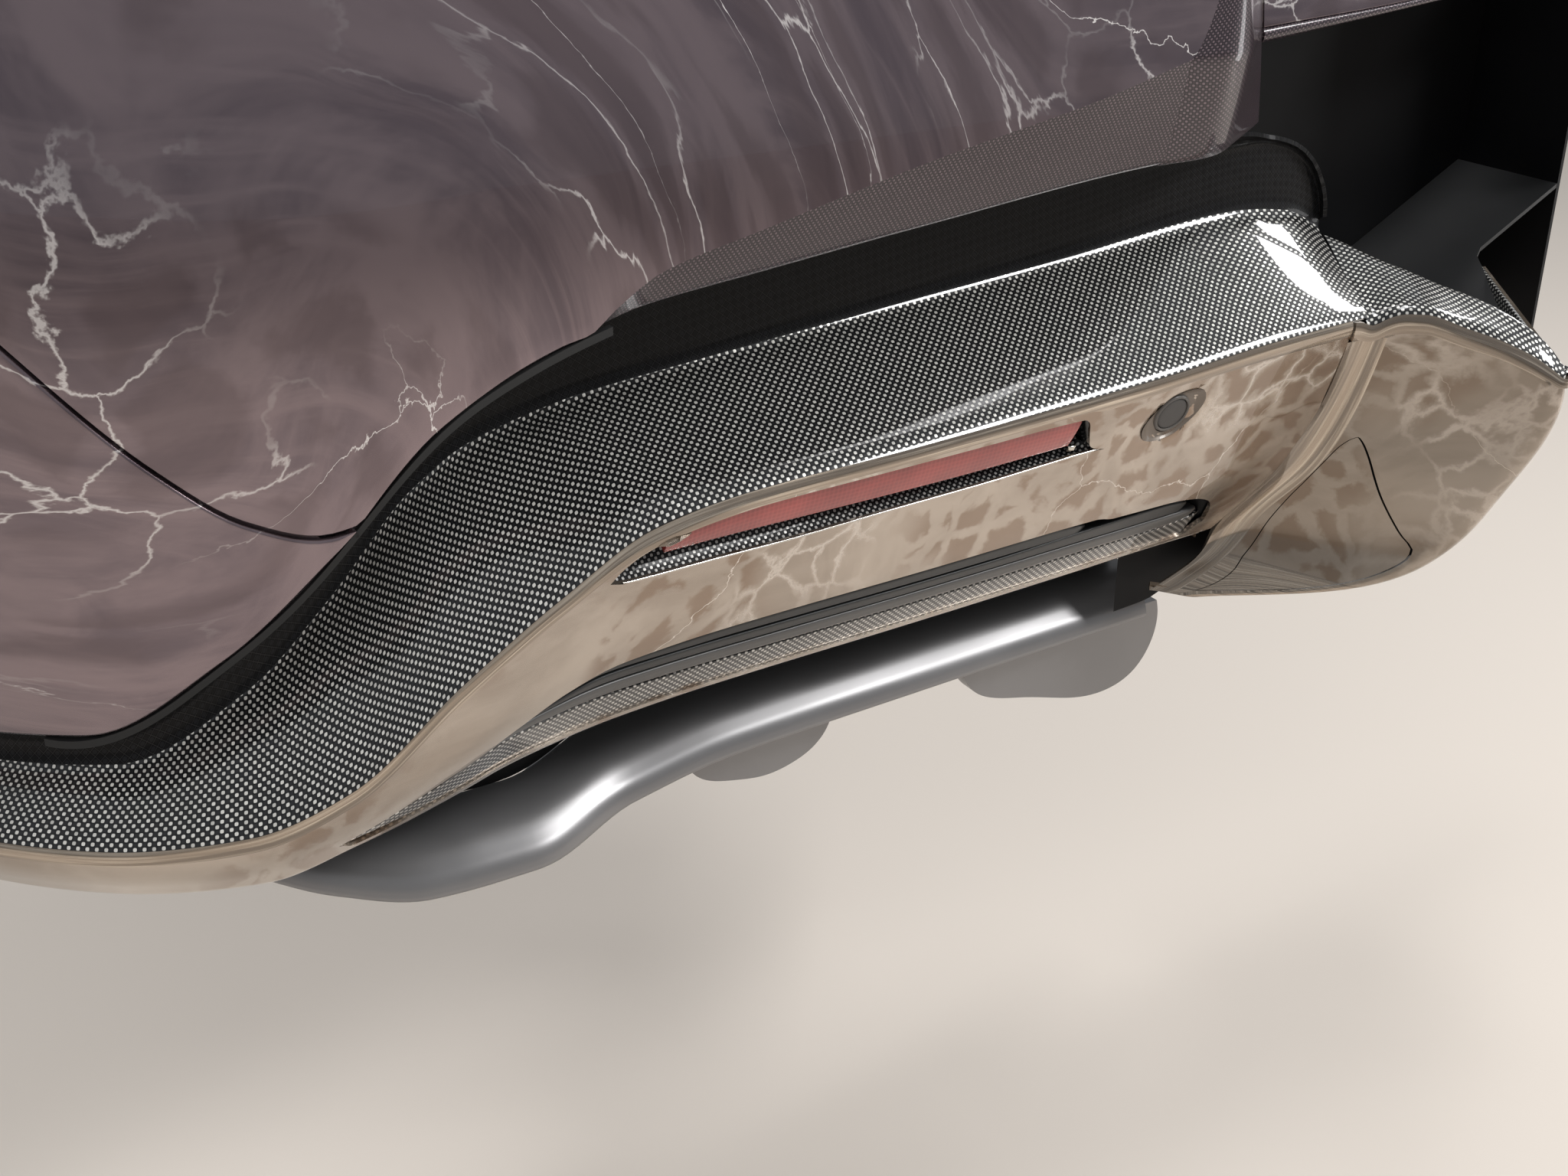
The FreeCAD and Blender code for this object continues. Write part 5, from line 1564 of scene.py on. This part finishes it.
    def build(self) -> None:
        """Make the lobe's skin, the cover and the nose.

        The cover's left and right edges are tables of shares of the straight face. They meet at its two tips.
        """
        tip_w, end_w = self.cover_left[0][0], self.cover_left[-1][0]
        knots = np.concatenate([np.linspace(self.top_level() + self.top_roll, tip_w - 2.0, 14),
                                tip_w + np.array([-0.8, 0.0, 0.3, 0.8, 1.5, 2.5, 4.0, 6.0, 9.0, 12.0]),
                                np.linspace(tip_w + 16.0, 135.0, 26),
                                np.array([137.0, 138.6, 140.0, 141.1, 142.0, end_w, 144.0, 145.0])])
        fillet, run, tip, flank = self.parts(knots)
        left, right = point_table(self.cover_left, knots), point_table(self.cover_right, knots)
        length = np.linalg.norm(run[:, 1] - run[:, 0], axis=1)
        seam = np.where(right > left, self.gap / 2 / length, 0.0)
        thin = np.where(right > left, 0.25 / length, 0.0)

        def between(first: Array, last: Array, steps: int) -> Array:
            """Straight stretch of the face between two shares of it."""
            start = run[:, 0] + (run[:, 1] - run[:, 0]) * first[:, None]
            end = run[:, 0] + (run[:, 1] - run[:, 0]) * last[:, None]
            return straight(start, end, steps)

        zero, one = np.zeros_like(left), np.ones_like(left)
        fillet = self.arched(knots, fillet)
        outer_left = self.arched(knots, between(zero, np.maximum(left - thin, 0.0), 5))
        outer_right = joined([between(np.minimum(right + seam, 1.0), one, 16), tip])
        outer_right = joined([self.arched(knots, outer_right), flank])
        cover = between(left + thin, np.maximum(right - seam, left + thin), 14)
        # The fillet and the brow take the valley's painted reflection streaks; below streak_w the face takes
        # the roll's.
        sheets = [Sheet(fillet.transpose(1, 0, 2), 1), Sheet(self.brow(), 1)]
        streak = int(np.searchsorted(knots, self.streak_w))

        def split(grid: Array, streaked: int) -> list[Sheet]:
            """Sheet of the figure above the painted reflection streaks, and one of those streaks below it."""
            return [Sheet(grid[:streak + 1].transpose(1, 0, 2)),
                    Sheet(grid[streak:].transpose(1, 0, 2), streaked)]

        sheets += split(outer_left, 2) + split(outer_right, 2)
        sheets.append(Sheet(self.hem(joined([fillet, outer_left]), cover, outer_right)))
        paints = [self.finishes.lobe, self.finishes.valley, self.finishes.streaked]
        Piece("lobe_paint", sheets, paints, "stone_paint", ("lobe_skin",), wall=self.wall, edge=0.3,
              sharp=50.0).build()
        first, last = np.searchsorted(knots, (tip_w, end_w))
        streak -= first
        # Near-black sheet behind the cover's gap: painted shade in the gap.
        behind = straight(run[:, 0], run[:, 1], 6)[first:last + 1] + np.array(self.gap_shade_offset)
        Piece("cover_gap_painted_shade", [Sheet(behind.transpose(1, 0, 2))], [self.finishes.deep],
              "black_plastic").build()
        Piece("tow_cover_paint", split(cover[first:last + 1], 1), [paints[0], paints[2]], "stone_paint",
              ("tow_cover",), wall=self.wall, edge=0.3, sharp=50.0).build()
        self.nose()

    def top_level(self) -> float:
        """Level of the lobe's upper edge."""
        return -self.rows[0][2]

    def edge_rows(self) -> tuple[Array, Array]:
        """Upper edge of the lobe from the face to the nose, and the same line one roll lower."""
        rows = []
        for w in (self.top_level(), self.top_level() + self.top_roll):
            level = np.array([w])
            fillet, run, tip, flank = self.parts(level)
            front = self.arched(level, joined([fillet, straight(run[:, 0], run[:, 1], 28), tip]))
            rows.append(joined([front, flank])[0])
        return rows[0], rows[1]

    def far_edge(self, near: Array) -> Array:
        """Far edge of the nose beside the points of the upper edge up to the tip's middle.

        Args:
            near: points of the upper edge.

        Returns:
            A point for each of them.
        """
        table = np.array(self.ribs)
        share = self.along_face(np.array([self.top_level()]), near[None])[0]
        share = np.maximum.accumulate(share)
        stretched = (share - self.far_share) / (share[-1] - self.far_share)
        share = np.where(share > self.far_share, self.far_share + (1.0 - self.far_share) * stretched, share)
        s, n, z = (table_curve(table[:, 0], table[:, k], share) for k in (1, 2, 3))
        return FORM.place(s, n, z)

    def roll(self) -> tuple[Array, Array, Array]:
        """Roll over the lobe's upper edge: its carbon half, its painted half and the far edge."""
        near, lower = self.edge_rows()
        turn = len(near) - 1 - self.flank_steps - self.tip_steps // 2
        ahead = self.far_edge(near[:turn + 1])
        fade = np.clip(1.0 - np.arange(1, len(near) - turn) / 8.0, 0.0, 1.0)[:, None]
        beyond = fade * (ahead[-1] - near[turn]) + (1.0 - fade) * np.array(self.nose_step)
        far = np.concatenate([ahead, near[turn + 1:] + beyond])
        step = far - near
        run = np.linalg.norm(step, axis=1)[:, None]
        start = near + step * np.minimum(self.top_roll / np.maximum(run, 1e-6), 0.48)
        return *halves(parabola(start, near, lower, 16)), far

    def brow(self) -> Array:
        """Painted half of the roll, as levels × path × coordinates."""
        return self.roll()[1].transpose(1, 0, 2)

    def nose(self) -> None:
        """Carbon nose from the far edge over the roll, with a rounded far hem."""
        carbon, _, far = (line[4:] for line in self.roll())
        hem = far + np.array(self.far_hem)
        step = carbon[:, 0] - far
        start = far + step * np.minimum(self.far_roll / np.linalg.norm(step, axis=1)[:, None], 0.35)
        under = far + (hem - far) * 0.7
        back = parabola(under, far, start, 10)
        grid = joined([straight(hem, under, 2), back, straight(start, carbon[:, 0], 14), carbon])
        Piece("blade_nose_carbon", [Sheet(grid, from_last=True)], [self.finishes.blade], "carbon",
              ("blade_nose",), wall=1.8, edge=0.3, sharp=60.0).build()

    def hem(self, left: Array, cover: Array, right: Array) -> Array:
        """Lower edge turned in under the lobe.

        Args:
            left: paths left of the cover.
            cover: paths over the cover.
            right: paths right of the cover.

        Returns:
            Points × 3 × coordinates.
        """
        edge = joined([left[-1:], cover[-1:], right[-1:]])[0]
        inner = edge + (edge.mean(axis=0) - edge) * self.hem_share + np.array(self.hem_step)
        return np.stack([edge, edge * 0.5 + inner * 0.5 + np.array([0.0, 0.0, -0.4]), inner], axis=1)


@dataclass
class Reflector:
    """Red reflector lens in the upper half of the slot, over a woven tray whose polished edge is a bright
    bead, a painted highlight.
    """

    finishes: Finishes
    skin: LowerSkin
    start_s: float = 60.0
    end_s: float = 255.5
    lens_low: Rows = ((60.0, -36.6), (122.0, -36.9), (182.0, -36.6), (258.0, -34.4))
    slot_ends: tuple[float, ...] = (36.5, 37.4, 38.6, 255.0, 257.0, 258.5, 260.0, 261.0, 262.0, 263.5, 266.0)
    recess: float = 2.6
    depth: float = 13.0
    bead: float = 0.5
    bead_start_s: float = 40.0
    bead_end_s: float = 271.5
    crown: float = 0.7

    def build(self) -> None:
        """Make the housing, the lens, the bead and the clip."""
        s = places(self.skin.slot_start_s, self.skin.slot_end_s, 3.0, self.slot_ends)
        top = point_table(self.skin.slot_top, s) + 0.4
        low = np.minimum(point_table(self.skin.slot_low, s) - 0.4, top - 0.1)
        sill = np.clip(point_table(self.lens_low, s) - 0.6, low + 0.05, top - 0.03)
        n_top, n_low = FORM.face_n(s, top) + 1.2, FORM.face_n(s, low) + 1.0
        deep = self.depth * np.minimum(1.0, (top - low) / 14.0) ** 0.6
        back = pairs(n_top + deep, top)
        shelf = pairs(FORM.face_n(s, sill) + deep * 0.85, sill)
        front = pairs(n_low, low)
        shell = joined([straight(pairs(n_top, top), back, 3), straight(back, shelf, 4)])
        tray = parabola(shelf, shelf * 0.45 + front * 0.55 + np.array([1.2, -1.6]), front, 10)
        sheets = [Sheet(FORM.lay(s, shell)), Sheet(FORM.lay(s, tray), 1, from_last=True)]
        Piece("reflector_housing_shell", sheets, [self.finishes.gloss_black, self.finishes.tray],
              "black_plastic", ("reflector_housing",), wall=1.2).build()
        self.lens()
        self.trim(s)
        self.clip()

    def lens(self) -> None:
        """Lens: a slightly crowned plate that tapers to its left tip."""
        s = places(self.start_s, self.end_s, 3.0, (61.0, 62.0, 253.0, 254.3, 255.0))
        top = point_table(self.skin.slot_top, s) - 0.35
        low = np.minimum(point_table(self.lens_low, s), top - 0.4)
        ends = np.sqrt(np.clip((self.end_s - s) / 2.4, 0.0, 1.0))
        low = top - (top - low) * (0.25 + 0.75 * ends)
        z = spread(top, low, 12)
        t = np.linspace(0.0, 1.0, 13)[None, :]
        n = FORM.face_n(s[:, None], z) + self.recess - self.crown * 4.0 * t * (1 - t)
        Piece("reflector_lens_red", [Sheet(FORM.place(s[:, None], n, z))], [self.finishes.red], "red_lens",
              ("reflector_lens",), wall=3.6, edge=0.5).build()

    def trim(self, s: Array) -> None:
        """Bead along the slot's lower edge, in bright metal as a painted highlight of the tray's polished
        edge: a circle carried along it.
        """
        s = s[(s > self.bead_start_s) & (s < self.bead_end_s)]
        low = point_table(self.skin.slot_low, s) + 0.5
        from_end = np.minimum(s - self.bead_start_s, self.bead_end_s - s)
        radius = self.bead * np.sqrt(np.clip(from_end / 6.0, 0.02, 1.0))
        angle = np.linspace(0.0, 2.0 * math.pi, 17)[None, :]
        n = FORM.face_n(s, low)[:, None] + 0.3 - radius[:, None] * np.cos(angle)
        z = low[:, None] - radius[:, None] * np.sin(angle)
        Piece("reflector_bead", [Sheet(FORM.place(s[:, None], n, z))], [self.finishes.bright],
              "bare_metal").build()

    def clip(self) -> None:
        """Small bright clip that holds the lens at its right end: a rounded plate."""
        s = np.linspace(253.4, 258.2, 9)
        t = np.linspace(-1.0, 1.0, 9)
        swell = np.outer(1.0 - np.abs(t) ** 4, 1.0 - np.abs(t) ** 4)
        z = -36.6 - 1.7 * t[None, :]
        n = FORM.face_n(s[:, None], z) + 3.2 - 1.4 * swell
        Piece("reflector_clip", [Sheet(FORM.place(s[:, None], n, z))], [self.finishes.bright], "bare_metal",
              wall=1.2).build()


@dataclass(frozen=True)
class StripShape:
    """One strip in the vane opening: rows of (s, top, low) and how far it lies in."""

    node: str
    slot: str
    rows: Rows
    recess: float
    front_round: float
    inner_n: float = 61.0


@dataclass
class Vanes:
    """Two slats, the rolled band and the carbon strip in the vane opening."""

    finishes: Finishes
    shapes: tuple[StripShape, ...] = (
        StripShape("upper_vane", "vane_grey", (
            (24.0, -94.6, -95.2), (44.0, -89.2, -92.6), (79.0, -88.0, -93.0), (102.0, -86.8, -92.6),
            (162.0, -86.0, -92.2), (228.0, -84.4, -91.2), (266.0, -83.2, -90.4), (278.0, -84.0, -90.2),
            (285.0, -86.4, -90.0), (288.0, -89.6, -89.9)), 1.6, 2.0),
        StripShape("lower_vane", "vane_grey", (
            (6.0, -101.6, -102.2), (44.0, -93.4, -98.6), (102.0, -93.2, -98.8), (162.0, -92.8, -98.6),
            (228.0, -91.8, -97.6), (293.0, -88.0, -95.8), (330.0, -86.4, -94.8), (342.0, -87.4, -94.4),
            (348.0, -90.0, -94.0), (350.5, -93.2, -93.8)), 1.0, 2.0),
        StripShape("rolled_band", "band_grey", (
            (-30.0, -117.0, -117.6), (4.0, -103.0, -108.0), (44.0, -99.2, -106.8), (102.0, -99.2, -107.0),
            (162.0, -98.8, -106.8), (228.0, -97.8, -105.8), (293.0, -96.0, -104.4), (330.0, -94.9, -103.4),
            (348.0, -94.4, -101.8), (356.0, -95.4, -100.0), (360.0, -98.2, -98.8)), 0.2, 3.4),
        StripShape("carbon_strip", "carbon", (
            (-73.0, -133.9, -134.5), (-40.0, -122.0, -131.6), (4.0, -109.0, -126.6), (44.0, -107.6, -123.8),
            (102.0, -107.6, -120.8), (162.0, -107.2, -120.0), (228.0, -106.3, -118.6),
            (293.0, -104.8, -116.8), (330.0, -103.8, -115.8), (352.0, -101.2, -115.2),
            (362.0, -100.2, -114.6), (366.0, -102.0, -113.0)), 1.2, 1.6),
    )

    def build(self) -> None:
        """Make each strip as a rounded front carried along its table."""
        paints = {"vane_grey": self.finishes.vane, "band_grey": self.finishes.band,
                  "carbon": self.finishes.strip}
        for shape in self.shapes:
            table = np.array(shape.rows)
            near_end = table[-1, 0] - np.array([0.3, 0.8, 1.6, 2.6, 4.0, 6.0])
            s = places(table[0, 0], table[-1, 0], extra=tuple(near_end))
            top, low = (table_curve(table[:, 0], table[:, k], s) for k in (1, 2))
            end = np.sqrt(np.clip((table[-1, 0] - s) / 9.0, 0.0, 1.0))
            recess = shape.recess + (1.0 - end) * 6.0
            corners = np.stack([
                pairs(shape.inner_n, top + 0.8), pairs(FORM.face_n(s, top) + recess, top),
                pairs(FORM.face_n(s, low) + recess, low), pairs(shape.inner_n, low + 1.2)], axis=1)
            reaches = (0.0, shape.front_round, shape.front_round * 0.8, 0.0)
            path, _ = rounded(corners, reaches=reaches, arc=8, runs=(5, 6, 5))
            Piece(shape.node + "_shape", [Sheet(FORM.lay(s, path))], [paints[shape.slot]], shape.slot,
                  (shape.node,), sharp=50.0).build()


@dataclass
class Diffuser:
    """Satin diffuser lip under the void."""

    finishes: Finishes
    rows: Rows = (
        (-165.0, 68.0, -166.0), (-122.0, 64.0, -176.0), (-80.0, 60.0, -186.0), (-32.0, 53.0, -191.0),
        (20.0, 52.0, -191.0), (74.0, 68.0, -184.0), (125.0, 71.0, -178.0), (230.0, 72.0, -175.0),
        (366.0, 73.0, -172.0))
    section: Rows = ((36.0, 25.0), (14.0, 20.0), (2.0, 8.0), (0.0, 0.0), (70.0, -6.0))

    def build(self) -> None:
        """Carry the section, a long slope into a round edge, along the lip's rear line."""
        table = np.array(self.rows)
        s = places(table[0, 0], table[-1, 0], 5.0)
        n, z = (table_curve(table[:, 0], table[:, k], s) for k in (1, 2))
        corners = np.stack([pairs(n + dn, z + dz) for dn, dz in self.section], axis=1)
        path, _ = rounded(corners, reaches=(0.0, 9.0, 4.4, 2.4, 0.0), arc=8, runs=(6, 6, 3, 10))
        Piece("diffuser_lip_satin", [Sheet(FORM.lay(s, path))], [self.finishes.gunmetal], "gunmetal",
              ("diffuser_lip",), wall=2.6, edge=0.6, sharp=50.0).build()


@dataclass
class CarriedNodes:
    """Solids of the frame that keep their shape and get a finish."""

    finishes: Finishes

    def build(self) -> None:
        """Give each remaining solid its finish and soft edges."""
        looks = (
            # The liners take the near-black painted shade of the openings' insides.
            (self.finishes.deep, {"opening_liner": 0.6, "vane_liner": 0.0, "void_liner": 0.0}),
            (self.finishes.black, {"opening_floor": 0.6, "sensor_body": 0.6}),
            (self.finishes.gunmetal, {"skid_tab_inboard": 1.2, "skid_tab_outboard": 1.2}),
            (self.finishes.rubber, {"edge_seal": 0.8}),
            (self.finishes.metal, {"mount_plate": 0.8, "crush_can": 0.6, "corner_beam": 0.8,
                                   "stay_outboard": 0.5, "stay_inboard": 0.5, "side_bracket": 0.4,
                                   "top_bracket": 0.4}),
            (self.finishes.foam, {"impact_foam": 2.0}),
        )
        for finish, edges in looks:
            for name, edge in edges.items():
                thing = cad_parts[name]
                thing.data.materials.clear()
                thing.data.materials.append(finish)
                if edge:
                    soften(thing, edge)
                LOG.info("%s: carried over", name)


@dataclass
class Studio:
    """Plain pale floor, soft lamps and the camera; places and sizes are in metres."""

    floor_z: float = -0.45
    floor_half: float = 30.0
    floor_colour: Colour = (0.68, 0.615, 0.55)
    world: float = 0.33
    target: Point = (-0.05, -0.22, 0.0)
    ground_target: Point = (-1.2, -1.1, -0.45)
    camera_place: Point = (-0.4, -0.8, 0.25)
    camera_pitch: float = 64.0
    camera_turn: float = -31.0
    camera_lens: float = 42.19

    def lamp(self, name: str, place: Point, size: tuple[float, float], power: float, mirrored: bool = True,
             target: Point | None = None) -> None:
        """Soft lamp that looks at its target; one that isn't mirrored leaves no image in the gloss.

        Args:
            name: name of the lamp.
            place: where it hangs.
            size: width and height.
            power: watts.
            mirrored: whether glossy surfaces show it.
            target: point that it looks at.
        """
        light = bpy.data.lights.new(name, "AREA")
        light.shape = "RECTANGLE"
        light.size, light.size_y = size
        light.energy = power
        aim = np.array(target or self.target) - np.array(place)
        tilt = math.acos(-aim[2] / np.linalg.norm(aim))
        holder = self.hang(name, light, place, (tilt, 0.0, math.atan2(aim[1], aim[0]) - math.pi / 2))
        holder.visible_glossy = mirrored

    def hang(self, name: str, data: bpy.types.ID, place: Point, turn: Point) -> bpy.types.Object:
        """Object for a lamp or the camera, at its place and turned by three angles.

        Args:
            name: name of the object.
            data: lamp or camera.
            place: where it is.
            turn: three angles in radians.

        Returns:
            The object.
        """
        holder = bpy.data.objects.new(name, data)
        bpy.context.scene.collection.objects.link(holder)
        holder.location = place
        holder.rotation_euler = turn
        return holder

    def ground(self) -> None:
        """Pale floor, one square."""
        mesh = bpy.data.meshes.new("floor")
        half = self.floor_half
        corners = [(x * half, y * half, self.floor_z) for x, y in ((-1, -1), (1, -1), (1, 1), (-1, 1))]
        mesh.from_pydata(corners, [], [(0, 1, 2, 3)])
        floor = bpy.data.objects.new("floor", mesh)
        bpy.context.scene.collection.objects.link(floor)
        material = bpy.data.materials.new("pale_floor")
        material.use_nodes = True
        shader = material.node_tree.nodes["Principled BSDF"]
        shader.inputs["Base Color"].default_value = full(self.floor_colour)
        shader.inputs["Roughness"].default_value = 0.9
        floor.data.materials.append(material)

    def build(self) -> None:
        """Make the floor, the world, the lamps and the camera."""
        self.ground()
        scene = bpy.context.scene
        scene.world = bpy.data.worlds.new("studio")
        scene.world.use_nodes = True
        backdrop = scene.world.node_tree.nodes["Background"]
        backdrop.inputs["Color"].default_value = (0.93, 0.96, 1.0, 1.0)
        backdrop.inputs["Strength"].default_value = self.world
        self.lamp("key", (1.84, -1.81, 1.89), (1.2, 0.5), 54.0)
        self.lamp("top", (0.25, -0.10, 2.1), (0.35, 1.1), 15.0)
        self.lamp("far_strip", (1.95, 0.0, 1.4), (0.35, 0.35), 10.0)
        self.lamp("low_strip", (1.53, -0.70, 0.05), (0.3, 0.9), 4.0)
        self.lamp("fill", (-2.4, -1.7, 1.1), (1.8, 1.8), 12.0, mirrored=False)
        self.lamp("ground", (-1.3, -1.2, 1.3), (1.5, 1.5), 12.0, mirrored=False, target=self.ground_target)
        camera = bpy.data.cameras.new("camera")
        camera.lens = self.camera_lens
        camera.sensor_width = 36.0
        camera.clip_start = 0.01
        turn = (math.radians(self.camera_pitch), 0.0, math.radians(self.camera_turn))
        scene.camera = self.hang("camera", camera, self.camera_place, turn)
        scene.view_settings.view_transform = "Standard"


def main() -> None:
    """Build the corner piece by piece."""
    logging.basicConfig(level=logging.INFO, format="%(name)s: %(message)s")
    finishes = Finishes()
    channel = Channel(finishes)
    eye = SensorEye()
    skin = LowerSkin(finishes, channel, eye)
    UpperSkins(finishes).build()
    channel.build()
    skin.build()
    eye.build(finishes)
    Lobe(finishes).build()
    Reflector(finishes, skin).build()
    Vanes(finishes).build()
    Diffuser(finishes).build()
    CarriedNodes(finishes).build()
    Studio().build()


if __name__ == "__main__":
    main()
